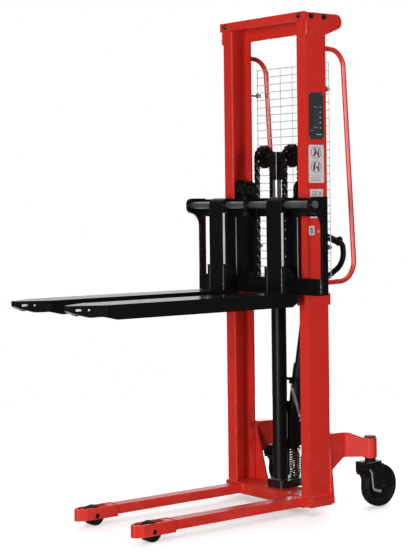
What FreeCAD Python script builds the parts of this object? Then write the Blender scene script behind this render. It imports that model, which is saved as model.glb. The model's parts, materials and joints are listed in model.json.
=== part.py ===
import FreeCAD, Part
import math
import os
import Sketcher

# A hand-pumped pallet stacker: a fixed mast on two straddle legs, a fork carriage hung on
# two chains, one hydraulic lift cylinder, a tiller that works the pump, and two casters.
# X is across the machine (+X is the operator's left), the forks point along -Y, +Z is up,
# and the origin lies on the floor under the middle of the footprint.

FORWARD_REACH = 1130.0      # mast front to fork tips
REAR_REACH = 452.0          # mast front to the back of the caster wheels

DIMENSIONS = {
    "mast_y": (FORWARD_REACH - REAR_REACH) / 2,   # front face of the mast
    "mast_span": 535.0,         # across both columns
    "mast_top": 2078.0,
    "column_width": 54.0,
    "column_depth": 113.0,
    "column_web": 6.0,
    "column_flange": 9.0,
    "head_height": 36.0,        # front crossbar of the mast head
    "plate": 12.0,
    "thin_plate": 8.0,
    "beam_height": 58.0,        # rear crossbeam of the mast head
    "band_low": 866.0,          # the brace half way up the mast
    "band_height": 49.0,
    "base_low": 28.0,
    "base_top": 77.0,
    "shoe_low": 35.0,
    "shoe_width": 10.0,
    "leg_inner": 168.0,
    "leg_width": 55.0,
    "leg_low": 34.0,
    "leg_height": 38.0,
    "leg_wall": 5.0,
    "leg_reach": 703.0,
    "bracket_low": 26.0,
    "bracket_height": 48.0,
    "bracket_root": 663.0,
    "bracket_corner": 814.0,
    "bracket_nose": 850.0,
    "load_axle_y": 763.0,
    "load_roller_radius": 40.0,
    "load_roller_width": 44.0,
    "load_axle_radius": 10.0,
    "caster_x": 299.0,
    "caster_y": 314.0,          # behind the mast front
    "caster_trail": 48.0,
    "caster_radius": 90.0,
    "caster_width": 46.0,
    "housing_low": 212.0,
    "housing_top": 297.0,
    "housing_radius": 29.0,
    "stem_radius": 17.0,
    "crown_low": 186.0,
    "crown_top": 197.0,
    "crown_half": 33.0,
    "cylinder_y": 71.0,
    "barrel_radius": 32.0,
    "barrel_bore": 25.0,
    "barrel_low": 108.0,
    "barrel_top": 950.0,
    "gland_radius": 36.0,
    "gland_top": 968.0,
    "rod_radius": 18.0,
    "piston_low": 561.0,
    "piston_height": 30.0,
    "crosshead_low": 1391.0,
    "crosshead_top": 1511.0,
    "crosshead_half": 20.0,
    "sprocket_z": 1491.0,
    "sprocket_x": 90.0,
    "sprocket_y": 78.0,
    "sprocket_axle_radius": 15.0,
    "chain_pitch": 19.05,
    "chain_strip": 3.0,
    "chain_gap": 6.5,           # chain middle to the inner face of a side strip
    "chain_height": 18.0,
    "chain_anchor_z": 920.0,    # where the chains are tied to the barrel
    "carriage_half": 404.0,
    "carriage_front": 53.0,
    "carriage_back": 12.0,
    "carriage_low": 915.0,
    "lower_bar_top": 983.0,
    "carriage_top": 1316.0,
    "carriage_bar_height": 76.0,
    "carriage_bar_depth": 25.0,
    "bar_y": 85.0,
    "bar_z": 1285.0,
    "bar_radius": 15.0,
    "bar_half": 413.0,
    "upright_inner": 165.0,
    "upright_outer": 234.0,
    "guide_y": 56.5,
    "guide_upper_z": 1349.0,
    "guide_lower_z": 975.0,
    "guide_radius": 47.0,
    "guide_inner": 222.0,
    "guide_width": 36.0,
    "guide_axle_radius": 12.5,
    "fork_x": 190.0,
    "fork_width": 160.0,
    "fork_top": 923.0,
    "fork_depth": 57.0,
    "fork_skin": 8.0,
    "fork_wall": 7.0,
    "fork_heel": 60.0,
    "shank_half": 46.0,
    "shank_thick": 18.0,
    "heel_half": 62.0,
    "heel_height": 107.0,
    "eye_radius": 31.0,
    "guard_y": 161.0,
    "guard_half": 234.0,
    "guard_low": 978.0,
    "guard_top": 1882.0,
    "guard_wire": 4.0,
    "rail_x": 250.0,
    "rail_radius": 11.0,
    "pump_half": 50.0,
    "pump_front": 33.0,
    "pump_back": 185.0,
    "plunger_y": 155.0,
    "plunger_radius": 11.0,
    "plunger_low": 124.0,
    "plunger_top": 249.0,
    "plunger_sleeve": 17.0,
    "plunger_sleeve_top": 131.0,
    "plunger_cap": 25.0,
    "plunger_cap_z": 232.0,
    "pivot_y": 125.0,
    "pivot_z": 250.0,
    "pivot_radius": 8.0,
    "tiller_lean": 10.07,
    "tiller_radius": 19.0,
    "yoke_inner": 28.0,
    "yoke_outer": 36.0,
    "loop_radius": 12.0,
    "grip_radius": 15.0,
    "running_fit": 0.05,        # radial clearance of a turning fit
}

doc = FreeCAD.newDocument("stacker")
sheet = doc.addObject("Spreadsheet::Sheet", "Dimensions")
for row, (alias, number) in enumerate(DIMENSIONS.items(), start=1):
    sheet.set(f"A{row}", alias)
    sheet.set(f"B{row}", str(number))
    sheet.setAlias(f"B{row}", alias)
doc.recompute()


class Size:
    """A number that remembers the spreadsheet formula it comes from."""

    def __init__(self, value, rule):
        self.value = value
        self.rule = rule

    def __add__(self, other):
        return joined(self, "+", other)

    def __radd__(self, other):
        return joined(other, "+", self)

    def __sub__(self, other):
        return joined(self, "-", other)

    def __rsub__(self, other):
        return joined(other, "-", self)

    def __mul__(self, other):
        return joined(self, "*", other)

    def __rmul__(self, other):
        return joined(other, "*", self)

    def __truediv__(self, other):
        return joined(self, "/", other)

    def __neg__(self):
        return joined(0, "-", self)

    def __float__(self):
        return float(self.value)


def as_size(thing):
    return thing if isinstance(thing, Size) else Size(float(thing), f"({float(thing)})")


def joined(left, sign, right):
    left = as_size(left)
    right = as_size(right)
    value = {
        "+": left.value + right.value,
        "-": left.value - right.value,
        "*": left.value * right.value,
        "/": left.value / right.value if right.value else math.inf,
    }[sign]
    return Size(value, f"({left.rule} {sign} {right.rule})")


class Sizes:
    """Every spreadsheet cell as an attribute of this object."""

    def __init__(self, names):
        for name in names:
            setattr(self, name, Size(float(sheet.get(name)), f"Dimensions.{name}"))


s = Sizes(DIMENSIONS)
ORIGIN = FreeCAD.Vector(0, 0, 0)
AXES = {"X": FreeCAD.Vector(1, 0, 0), "Y": FreeCAD.Vector(0, 1, 0), "Z": FreeCAD.Vector(0, 0, 1)}
TURNS = {
    "X": FreeCAD.Rotation(AXES["Y"], 90),
    "Y": FreeCAD.Rotation(AXES["X"], -90),
    "Z": FreeCAD.Rotation(),
}
SIDES = {"left": 1, "right": -1}
subparts = []


def at_y(distance):
    """A place measured along Y from the front face of the mast."""
    return s.mast_y + distance


def sided(side, inner, outer):
    """The low and high X of something that lies between two distances on one side."""
    return (inner, outer) if side > 0 else (-as_size(outer), -as_size(inner))


def bind(item, prop, size):
    item.setExpression(prop, as_size(size).rule)


def place(item, x, y, z):
    for axis, size in zip("xyz", (x, y, z)):
        bind(item, f"Placement.Base.{axis}", size)
    return item


def keep(item, label):
    """Registers an object as one of the stacker's own sub-parts."""
    item.Label = label
    subparts.append(item)
    return item


def block(name, x, y, z):
    """A box between a low and a high value on each axis."""
    item = doc.addObject("Part::Box", name)
    for prop, (low, high) in zip(("Length", "Width", "Height"), (x, y, z)):
        bind(item, prop, as_size(high) - low)
    return place(item, x[0], y[0], z[0])


def rod(name, radius, length, at, along):
    """A cylinder whose axis starts at a point and runs along X, Y or Z."""
    item = doc.addObject("Part::Cylinder", name)
    bind(item, "Radius", radius)
    bind(item, "Height", length)
    item.Placement = FreeCAD.Placement(ORIGIN, TURNS[along])
    return place(item, *at)


def fused(name, items):
    item = doc.addObject("Part::MultiFuse", name)
    item.Shapes = items
    return item


def cut(name, base, tool):
    item = doc.addObject("Part::Cut", name)
    item.Base = base
    item.Tool = tool
    return item


def common(name, base, tool):
    item = doc.addObject("Part::Common", name)
    item.Base = base
    item.Tool = tool
    return item


def grouped(name, items):
    """Identical loose pieces that share one node."""
    item = doc.addObject("Part::Compound", name)
    item.Links = items
    return item


def tube(name, outer, inner, length, at, along):
    shell = rod(f"{name}_shell", outer, length, at, along)
    bore = rod(f"{name}_bore", inner, length, at, along)
    return cut(name, shell, bore)


def coded(name, shape):
    """An object for a shape that no primitive or sketch feature gives."""
    item = doc.addObject("Part::Feature", name)
    item.Shape = shape
    return item


def edges_at_corner(shape, plane, corner):
    """The edges that stand square to the sketch plane on one corner of the outline."""
    first, second = {"XY": ("x", "y"), "XZ": ("x", "z"), "YZ": ("y", "z")}[plane]
    found = []
    for number, edge in enumerate(shape.Edges, start=1):
        ends = [vertex.Point for vertex in edge.Vertexes]
        on_corner = [
            abs(getattr(end, first) - float(corner[0])) < 1e-4
            and abs(getattr(end, second) - float(corner[1])) < 1e-4
            for end in ends
        ]
        if len(ends) == 2 and all(on_corner):
            found.append(f"Edge{number}")
    return found


def plate(name, plane, outline, span, rounds=()):
    """A straight-sided outline padded between two values on the axis square to it.

    rounds is a list of (corner number, radius).
    """
    body = doc.addObject("PartDesign::Body", name)
    sketch = body.newObject("Sketcher::SketchObject", f"{name}_outline")
    origin_plane = next(f for f in body.Origin.OriginFeatures if f.Role == f"{plane}_Plane")
    sketch.AttachmentSupport = [(origin_plane, "")]
    sketch.MapMode = "FlatFace"
    corners = [(as_size(a), as_size(b)) for a, b in outline]
    count = len(corners)
    points = [FreeCAD.Vector(float(a), float(b), 0) for a, b in corners]
    for number in range(count):
        sketch.addGeometry(Part.LineSegment(points[number], points[(number + 1) % count]))
    for number in range(count):
        sketch.addConstraint(Sketcher.Constraint("Coincident", number, 2, (number + 1) % count, 1))
    for number, corner in enumerate(corners):
        for kind, size in zip(("DistanceX", "DistanceY"), corner):
            index = sketch.addConstraint(Sketcher.Constraint(kind, -1, 1, number, 1, size.value))
            sketch.setExpression(f"Constraints[{index}]", size.rule)
    pad = body.newObject("PartDesign::Pad", f"{name}_pad")
    pad.Profile = sketch
    low, high = as_size(span[0]), as_size(span[1])
    bind(pad, "Length", high - low)
    doc.recompute()
    last = pad
    for number, radius in rounds:
        fillet = body.newObject("PartDesign::Fillet", f"{name}_round{number}")
        fillet.Base = (last, edges_at_corner(last.Shape, plane, corners[number]))
        bind(fillet, "Radius", radius)
        doc.recompute()
        last = fillet
    body.Tip = last
    if plane == "XY":
        return place(body, 0, 0, low)
    if plane == "YZ":
        return place(body, low, 0, 0)
    return place(body, 0, high, 0)


def rounded_path(points, radii, closed=False):
    """A wire of straight runs joined by tangent arcs."""
    count = len(points)
    starts, ends, edges = list(points), list(points), []
    arcs = {}
    for number, radius in radii.items():
        here = points[number]
        back = (points[number - 1] - here).normalize()
        ahead = (points[(number + 1) % count] - here).normalize()
        half = back.getAngle(ahead) / 2
        reach = radius / math.tan(half)
        middle = (back + ahead).normalize() * (radius / math.sin(half) - radius)
        ends[number] = here + back * reach
        starts[number] = here + ahead * reach
        arcs[number] = Part.Arc(ends[number], here + middle, starts[number]).toShape()
    for number in range(count):
        if number in arcs:
            edges.append(arcs[number])
        if closed or number < count - 1:
            after = (number + 1) % count
            edges.append(Part.LineSegment(starts[number], ends[after]).toShape())
    return Part.Wire(edges)


def pipe(path, radius):
    """A round bar swept along a wire."""
    start = path.Edges[0]
    direction = start.tangentAt(start.FirstParameter)
    circle = Part.Circle(start.valueAt(start.FirstParameter), direction, radius)
    return path.makePipeShell([Part.Wire([circle.toShape()])], True, False)


def coil(radius, wire_radius, length, turns):
    """A compression spring standing on the origin, as long as its wire centres say."""
    path = Part.Wire(Part.makeHelix(length / turns, length, radius))
    start = FreeCAD.Vector(radius, 0, 0)
    circle = Part.Wire([Part.Circle(start, AXES["Y"], wire_radius).toShape()])
    return path.makePipeShell([circle], True, True)


def half_span():
    return s.mast_span / 2


# ---------------------------------------------------------------- mast and base

def mast_column(side, label):
    """A rolled channel that opens towards the other column."""
    outer = half_span()
    web = outer - s.column_web
    inner = outer - s.column_width
    front, back = at_y(0), at_y(s.column_depth)
    outline = [
        (side * outer, front),
        (side * inner, front),
        (side * inner, front + s.column_flange),
        (side * web, front + s.column_flange),
        (side * web, back - s.column_flange),
        (side * inner, back - s.column_flange),
        (side * inner, back),
        (side * outer, back),
    ]
    rounds = [(3, 5), (4, 5)]
    return keep(plate(label, "XY", outline, (s.base_top, s.mast_top), rounds), label)


def mast_head():
    """The front crossbar with a bent-back side plate on each column."""
    outer = half_span()
    bar_y = (at_y(-s.plate), at_y(0))
    bar_x = outer + s.thin_plate
    bar_z = (s.mast_top + 3 - s.head_height, s.mast_top + 3)
    pieces = [block("head_crossbar", (-bar_x, bar_x), bar_y, bar_z)]
    low = s.mast_top - 90
    outline = [
        (at_y(0), low),
        (at_y(105), low),
        (at_y(196), low + 36),
        (at_y(205), s.mast_top),
        (at_y(0), s.mast_top),
    ]
    for name, side in SIDES.items():
        span = sided(side, outer, bar_x)
        pieces.append(plate(f"head_side_{name}", "YZ", outline, span, [(2, 25), (3, 30)]))
    return keep(fused("mast_head", pieces), "mast_head")


def hex_bolt(name, at, along, turn):
    """A hexagon bolt head with a short end that shows, pointing along an axis."""
    head = doc.addObject("Part::Prism", name)
    head.Polygon = 6
    bind(head, "Circumradius", 9.5)
    bind(head, "Height", 7)
    head.Placement = FreeCAD.Placement(ORIGIN, FreeCAD.Rotation(AXES[along], turn))
    return place(head, *at)


def mast_head_bolts():
    bolts = []
    face = half_span() + s.thin_plate
    for name, side in SIDES.items():
        front = (side * 241, at_y(-s.plate), s.mast_top - 12)
        bolts.append(hex_bolt(f"head_bolt_front_{name}", front, "X", 90))
        for number, distance in enumerate((25, 97)):
            spot = (side * face, at_y(distance), s.mast_top - 14)
            bolts.append(hex_bolt(f"head_bolt_{name}_{number}", spot, "Y", side * 90))
    return keep(grouped("mast_head_bolts", bolts), "mast_head_bolts")


def mast_crossbeam(label, low, height):
    """A flat beam between the rear flanges of the two columns."""
    inner = half_span() - s.column_width
    span_y = (at_y(s.column_depth - s.column_flange), at_y(s.column_depth))
    return block(label, (-inner, inner), span_y, (low, low + height))


def mid_crossbeam():
    """The lower brace, with a band that wraps round each column."""
    high = s.band_low + s.band_height
    pieces = [mast_crossbeam("band_beam", s.band_low, s.band_height)]
    outer = half_span()
    for name, side in SIDES.items():
        shell_x = sided(side, outer - s.column_width - 8, outer + 7)
        shell = block(f"band_shell_{name}", shell_x, (at_y(-6), at_y(s.column_depth + 6)),
                      (s.band_low, high))
        room_x = sided(side, outer - s.column_width - 8, outer)
        room = block(f"band_room_{name}", room_x, (at_y(0), at_y(s.column_depth)),
                     (s.band_low, high))
        pieces.append(cut(f"band_{name}", shell, room))
    inner = outer - s.column_width
    rear_y = (at_y(s.column_depth), at_y(s.column_depth + 6))
    pieces.append(block("band_backing", (-inner, inner), rear_y, (s.band_low, high)))
    return keep(fused("mid_crossbeam", pieces), "mid_crossbeam")


def base_frame():
    """The hollow beam under the mast and the shoe on the outside of each column foot."""
    half = s.leg_inner + s.leg_width + 0.5
    beam = block("base_beam", (-half, half), (at_y(0), at_y(s.column_depth)),
                 (s.base_low, s.base_top))
    hollow = block("base_hollow", (-half + s.plate, half - s.plate),
                   (at_y(s.plate), at_y(s.column_depth - s.plate)),
                   (s.base_low, s.base_top - s.plate))
    pieces = [cut("base_channel", beam, hollow)]
    for name, side in SIDES.items():
        shoe_x = sided(side, half, half_span() + s.shoe_width)
        pieces.append(block(f"base_shoe_{name}", shoe_x, (at_y(-5), at_y(s.column_depth)),
                            (s.shoe_low, s.base_top)))
    return keep(fused("base_frame", pieces), "base_frame")


def straddle_leg(side, label):
    """A rectangular tube with a horseshoe bracket for the load roller at its end."""
    inner, outer = s.leg_inner, s.leg_inner + s.leg_width
    wall = s.leg_wall
    high = s.leg_low + s.leg_height
    body = block(f"{label}_tube", sided(side, inner, outer), (at_y(-s.leg_reach), at_y(0)),
                 (s.leg_low, high))
    hollow = block(f"{label}_hollow", sided(side, inner + wall, outer - wall),
                   (at_y(-s.leg_reach), at_y(-wall)), (s.leg_low + wall, high - wall))
    tube_piece = cut(f"{label}_profile", body, hollow)
    return keep(fused(label, [tube_piece, roller_bracket(side, label)]), label)


def roller_bracket(side, label):
    low, high = s.bracket_low, s.bracket_low + s.bracket_height
    near, far = s.leg_inner - 4, s.leg_inner + s.leg_width + 4
    outline = horseshoe(side, near, far, 0)
    shell = plate(f"{label}_bracket", "XY", outline, (low, high), [(2, 12), (3, 12)])
    inside = plate(f"{label}_bracket_room", "XY", horseshoe(side, near, far, s.thin_plate),
                   (low, high), [(2, 8), (3, 8)])
    sleeve = block(f"{label}_sleeve", sided(side, s.leg_inner, s.leg_inner + s.leg_width),
                   (at_y(-s.leg_reach), at_y(-s.bracket_root)), (s.leg_low, high))
    bore_start = (near if side > 0 else -far, at_y(-s.load_axle_y), s.load_roller_radius)
    bore = rod(f"{label}_bore", s.load_axle_radius + s.running_fit, far - near, bore_start, "X")
    room = fused(f"{label}_rooms", [inside, sleeve, bore])
    return cut(f"{label}_horseshoe", shell, room)


def horseshoe(side, near, far, wall):
    """Plan of the roller bracket, or of the room inside it when a wall is given."""
    root = s.leg_reach + 2 if wall else s.bracket_root
    chamfer = 20
    return [
        (side * (near + wall), at_y(-root)),
        (side * (near + wall), at_y(-s.bracket_corner)),
        (side * (near + chamfer + wall / 2), at_y(-s.bracket_nose + wall)),
        (side * (far - chamfer - wall / 2), at_y(-s.bracket_nose + wall)),
        (side * (far - wall), at_y(-s.bracket_corner)),
        (side * (far - wall), at_y(-root)),
    ]


def load_roller(side, label):
    middle = s.leg_inner + s.leg_width / 2
    start = middle * side - s.load_roller_width / 2
    spot = (start, at_y(-s.load_axle_y), s.load_roller_radius)
    bore = s.load_axle_radius + s.running_fit
    return keep(tube(label, s.load_roller_radius, bore, s.load_roller_width, spot, "X"), label)


def load_roller_axles():
    axles = []
    near = s.leg_inner - 2
    length = s.leg_width + 4
    for name, side in SIDES.items():
        start = near if side > 0 else -near - length
        spot = (start, at_y(-s.load_axle_y), s.load_roller_radius)
        axles.append(rod(f"load_axle_{name}", s.load_axle_radius, length, spot, "X"))
    return keep(grouped("load_roller_axles", axles), "load_roller_axles")


def rear_plate():
    """The plate behind the column feet, open in the middle for the pump."""
    top = 322
    low = s.shoe_low + 5
    span = (at_y(s.column_depth), at_y(s.column_depth + 10))
    outline = [
        (-283, low), (283, low), (258, top), (216, top + 4),
        (140, s.base_top), (-140, s.base_top), (-216, top + 4), (-258, top),
    ]
    return keep(plate("rear_plate", "XZ", outline, span), "rear_plate")


def caster_arm(side, label):
    """The box that carries a caster, cranked outwards, with the stem housing at its end."""
    root = s.column_depth + 10
    plan = [
        (side * 212, at_y(root)), (side * 262, at_y(root)), (side * 262, at_y(205)),
        (side * 321, at_y(300)), (side * 280, at_y(322)), (side * 212, at_y(225)),
    ]
    slab = plate(f"{label}_plan", "XY", plan, (140, 330), [(2, 30), (5, 30)])
    profile = [
        (at_y(root), 170), (at_y(195), 221), (at_y(264), 219), (at_y(340), s.housing_low + 4),
        (at_y(340), s.housing_top - 4), (at_y(270), 300), (at_y(218), 324), (at_y(root), 327),
    ]
    side_view = plate(f"{label}_profile", "YZ", profile, sided(side, 200, 345), [(1, 25), (6, 20)])
    box = common(f"{label}_box", slab, side_view)
    depth = s.housing_top - s.housing_low
    x, y = side * s.caster_x, at_y(s.caster_y)
    housing = rod(f"{label}_housing", s.housing_radius, depth, (x, y, s.housing_low), "Z")
    bore_start = (x, y, s.housing_low - 5)
    bore = rod(f"{label}_bore", s.stem_radius + s.running_fit, depth + 15, bore_start, "Z")
    solid = fused(f"{label}_solid", [box, housing])
    return keep(cut(label, solid, bore), label)


# ---------------------------------------------------------------- casters

def caster_fork(side, label):
    """Stem, crown, front web, two legs, axle bolt and pedal pin of one caster."""
    x, y = side * s.caster_x, at_y(s.caster_y)
    half = s.crown_half
    crown = plate(f"{label}_crown", "XY", [
        (x - half, y - 54), (x + half, y - 54), (x + half, y + 46), (x - half, y + 46),
    ], (s.crown_low, s.crown_top), [(2, 18), (3, 18)])
    web = block(f"{label}_web", (x - half, x + half), (y - 54, y - 48), (160, s.crown_low))
    axle_y = y + s.caster_trail
    leg = [
        (y - 54, s.crown_low), (y - 54, 150), (y - 36, 146), (y - 4, 76), (y + 30, 60),
        (axle_y + 24, 66), (axle_y + 24, 108), (y + 46, s.crown_low),
    ]
    rounds = [(1, 6), (3, 14), (5, 20), (6, 20)]
    inner_leg = plate(f"{label}_leg_inner", "YZ", leg, (x - half, x - half + 6), rounds)
    outer_leg = plate(f"{label}_leg_outer", "YZ", leg, (x + half - 6, x + half), rounds)
    stem = rod(f"{label}_stem", s.stem_radius, s.housing_top + 7 - s.crown_top,
               (x, y, s.crown_top), "Z")
    shoulder = rod(f"{label}_shoulder", s.stem_radius + 6, s.housing_low - 3 - s.crown_top,
                   (x, y, s.crown_top), "Z")
    cap = rod(f"{label}_cap", s.housing_radius - 4, 5, (x, y, s.housing_top + 2), "Z")
    axle = rod(f"{label}_axle", 8, half * 2 + 16, (x - half - 8, axle_y, s.caster_radius), "X")
    pedal_pin = rod(f"{label}_pedal_pin", 3, half * 2, (x - half, y - 44, 155), "X")
    pieces = [crown, web, inner_leg, outer_leg, stem, shoulder, cap, axle, pedal_pin]
    return keep(fused(label, pieces), label)


def caster_wheel(side, label):
    """A solid wheel with recessed faces and a hub."""
    x = side * s.caster_x
    axis = (at_y(s.caster_y + s.caster_trail), s.caster_radius)
    width = s.caster_width
    tyre = rod(f"{label}_disc", s.caster_radius, width, (x - width / 2, *axis), "X")
    hollows = []
    for name, start in (("inner", x - width / 2), ("outer", x + width / 2 - 8)):
        hollows.append(tube(f"{label}_recess_{name}", 62, 24, 8, (start, *axis), "X"))
    bore = rod(f"{label}_bore", 8 + s.running_fit, width, (x - width / 2, *axis), "X")
    return keep(cut(label, tyre, fused(f"{label}_rooms", [*hollows, bore])), label)


def brake_pedal(side, label):
    """A toe plate in front of the crown, with a shoe that swings on to the tyre."""
    x, y = side * s.caster_x, at_y(s.caster_y)
    outline = [
        (y - 62, 148), (y - 60, 144), (y - 50, 149), (y - 41, 134), (y - 34, 134),
        (y - 36, 156), (y - 40, 159), (y - 47, 159),
    ]
    lever = plate(f"{label}_lever", "YZ", outline, (x - 22, x + 22))
    bore = rod(f"{label}_bore", 3 + s.running_fit, 44, (x - 22, y - 44, 155), "X")
    return keep(cut(label, lever, bore), label)


# ---------------------------------------------------------------- lift

def cylinder_barrel():
    length = s.barrel_top - s.barrel_low
    spot = (0, at_y(s.cylinder_y), s.barrel_low)
    shell = rod("barrel_shell", s.barrel_radius, length, spot, "Z")
    bore_spot = (0, at_y(s.cylinder_y), s.barrel_low + 6)
    bore = rod("barrel_room", s.barrel_bore, length, bore_spot, "Z")
    return keep(cut("cylinder_barrel", shell, bore), "cylinder_barrel")


def cylinder_gland():
    spot = (0, at_y(s.cylinder_y), s.barrel_top)
    length = s.gland_top - s.barrel_top
    bore = s.rod_radius + s.running_fit
    return keep(tube("cylinder_gland", s.gland_radius, bore, length, spot, "Z"), "cylinder_gland")


def piston_rod():
    y = at_y(s.cylinder_y)
    shaft = rod("rod_shaft", s.rod_radius, s.crosshead_low - s.piston_low, (0, y, s.piston_low), "Z")
    piston = rod("rod_piston", s.barrel_bore - s.running_fit, s.piston_height,
                 (0, y, s.piston_low), "Z")
    return keep(fused("piston_rod", [shaft, piston]), "piston_rod")


def crosshead():
    """The block on top of the rod, with the sprocket axle welded through it."""
    half = s.crosshead_half
    y = at_y(s.cylinder_y)
    body = block("crosshead_body", (-half, half), (y - half, at_y(s.sprocket_y) + half),
                 (s.crosshead_low, s.crosshead_top))
    reach = s.sprocket_x + 22
    spot = (-reach, at_y(s.sprocket_y), s.sprocket_z)
    axle = rod("crosshead_axle", s.sprocket_axle_radius, reach * 2, spot, "X")
    return keep(fused("crosshead", [body, axle]), "crosshead")


SPROCKET_TEETH = 14


def pitch_radius():
    return s.chain_pitch / (2 * math.sin(math.pi / SPROCKET_TEETH))


def chain_sprockets():
    """Two toothed wheels on the crosshead axle, one for each chain."""
    wheels = []
    pitch = pitch_radius()
    y, z = at_y(s.sprocket_y), s.sprocket_z
    for name, side in SIDES.items():
        x = side * s.sprocket_x
        disc = rod(f"sprocket_disc_{name}", pitch + 4, 11, (x - 5.5, y, z), "X")
        hub = rod(f"sprocket_hub_{name}", 28, 30, (x - 15, y, z), "X")
        gaps = [rod(f"sprocket_bore_{name}", s.sprocket_axle_radius + s.running_fit, 30,
                    (x - 15, y, z), "X")]
        for tooth in range(SPROCKET_TEETH):
            turn = 2 * math.pi * tooth / SPROCKET_TEETH
            spot = (x - 5.5, y + pitch * math.cos(turn), z + pitch * math.sin(turn))
            gaps.append(rod(f"sprocket_gap_{name}_{tooth}", 6.1, 11, spot, "X"))
        blank = fused(f"sprocket_blank_{name}", [disc, hub])
        wheels.append(cut(f"sprocket_{name}", blank, fused(f"sprocket_gaps_{name}", gaps)))
    return keep(grouped("chain_sprockets", wheels), "chain_sprockets")


def chain_strip_spans(x):
    """X spans of the two rows of link plates of a chain whose middle is at x."""
    near, far = s.chain_gap, s.chain_gap + s.chain_strip
    return (x - far, x - near), (x + near, x + far)


def chain_run(name, x, y, low, high, pins_below):
    """One straight run of leaf strips joined by pins."""
    half = s.chain_height / 2
    pieces = []
    for number, span in enumerate(chain_strip_spans(x)):
        pieces.append(block(f"{name}_strip_{number}", span, (y - half, y + half), (low, high)))
    length = (s.chain_gap + s.chain_strip) * 2
    pitch = float(s.chain_pitch)
    count = int((float(pins_below) - float(low)) // (2 * pitch))
    for number in range(count):
        z = low + s.chain_pitch * (2 * number + 1)
        pieces.append(rod(f"{name}_pin_{number}", 3, length, (x - length / 2, y, z), "X"))
    return fused(name, pieces)


def chain_runs(label, y, low):
    """The left and right chain between an anchor and the sprockets."""
    below_wheel = s.sprocket_z - 60
    runs = [
        chain_run(f"{label}_{name}", side * s.sprocket_x, y, low, s.sprocket_z, below_wheel)
        for name, side in SIDES.items()
    ]
    return keep(grouped(label, runs), label)


def chain_wraps():
    """The part of each chain that lies over its sprocket."""
    pitch = pitch_radius()
    half = s.chain_height / 2
    y, z = at_y(s.sprocket_y), s.sprocket_z
    wraps = []
    for name, side in SIDES.items():
        for number, span in enumerate(chain_strip_spans(side * s.sprocket_x)):
            ring = tube(f"wrap_ring_{name}_{number}", pitch + half, pitch - half, s.chain_strip,
                        (span[0], y, z), "X")
            lower = block(f"wrap_lower_{name}_{number}", span, (y - 60, y + 60), (z - 60, z))
            wraps.append(cut(f"wrap_{name}_{number}", ring, lower))
    return keep(grouped("chain_wraps", wraps), "chain_wraps")


def chain_anchor_bracket():
    """A collar on the barrel with an ear behind it for each chain."""
    low, high = s.chain_anchor_z, s.chain_anchor_z + 25
    y = at_y(s.cylinder_y)
    rear = at_y(s.sprocket_y) + pitch_radius()
    collar = rod("anchor_collar", s.barrel_radius + 12, 25, (0, y, low), "Z")
    reach = s.sprocket_x + 15
    beam = block("anchor_beam", (-reach, reach), (rear - 20, rear + 14), (low, high))
    hole = rod("anchor_hole", s.barrel_radius, 25, (0, y, low), "Z")
    solid = fused("anchor_solid", [collar, beam])
    return keep(cut("chain_anchor_bracket", solid, hole), "chain_anchor_bracket")


# ---------------------------------------------------------------- carriage

def carriage_bar(label, low, high, extras):
    half = s.carriage_half - s.plate
    depth = (at_y(-s.carriage_front), at_y(-s.carriage_front + s.carriage_bar_depth))
    bar = block(f"{label}_flat", (-half, half), depth, (low, high))
    return keep(fused(label, [bar, *extras]), label)


def carriage_upper_bar():
    """The top crossbar with the lug that holds the middle of the fork bar."""
    front, top = at_y(-s.carriage_front), s.carriage_top
    nose = at_y(-s.bar_y - 28)
    outline = [(front, top), (nose, top), (nose, top - 62), (front, top - 96)]
    lug = plate("bar_lug_blank", "YZ", outline, (-8, 8), [(1, 8), (2, 20)])
    hole = rod("bar_lug_hole", s.bar_radius, 16, (-8, at_y(-s.bar_y), s.bar_z), "X")
    lug = cut("bar_lug", lug, hole)
    high = top - 4
    return carriage_bar("carriage_upper_bar", high - s.carriage_bar_height, high, [lug])


def carriage_lower_bar():
    """The bottom crossbar with the two brackets that hold the chain ends."""
    chain_y = at_y(s.sprocket_y) - pitch_radius()
    front = at_y(-s.carriage_front + s.carriage_bar_depth)
    anchors = []
    for name, side in SIDES.items():
        x = side * s.sprocket_x
        anchors.append(block(f"carriage_anchor_{name}", (x - 13, x + 13), (front, chain_y + 12),
                             (s.lower_bar_top - 56, s.lower_bar_top - 3)))
    return carriage_bar("carriage_lower_bar", s.carriage_low, s.lower_bar_top, anchors)


def carriage_side_plate(side, label):
    """The end plate, shaped like the Greek letter gamma, that holds the fork bar."""
    front, back = at_y(10 - s.carriage_front), at_y(-s.carriage_back)
    nose = at_y(-s.bar_y - 28)
    top = s.carriage_top
    low = s.carriage_low + 2
    under = top - 66
    outline = [(back, low), (back, top), (nose, top), (nose, under), (front, under), (front, low)]
    span = sided(side, s.carriage_half - s.plate, s.carriage_half)
    blank = plate(f"{label}_blank", "YZ", outline, span, [(2, 25), (3, 27), (4, 55)])
    hole = rod(f"{label}_hole", s.bar_radius, s.plate, (span[0], at_y(-s.bar_y), s.bar_z), "X")
    return keep(cut(label, blank, hole), label)


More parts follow.
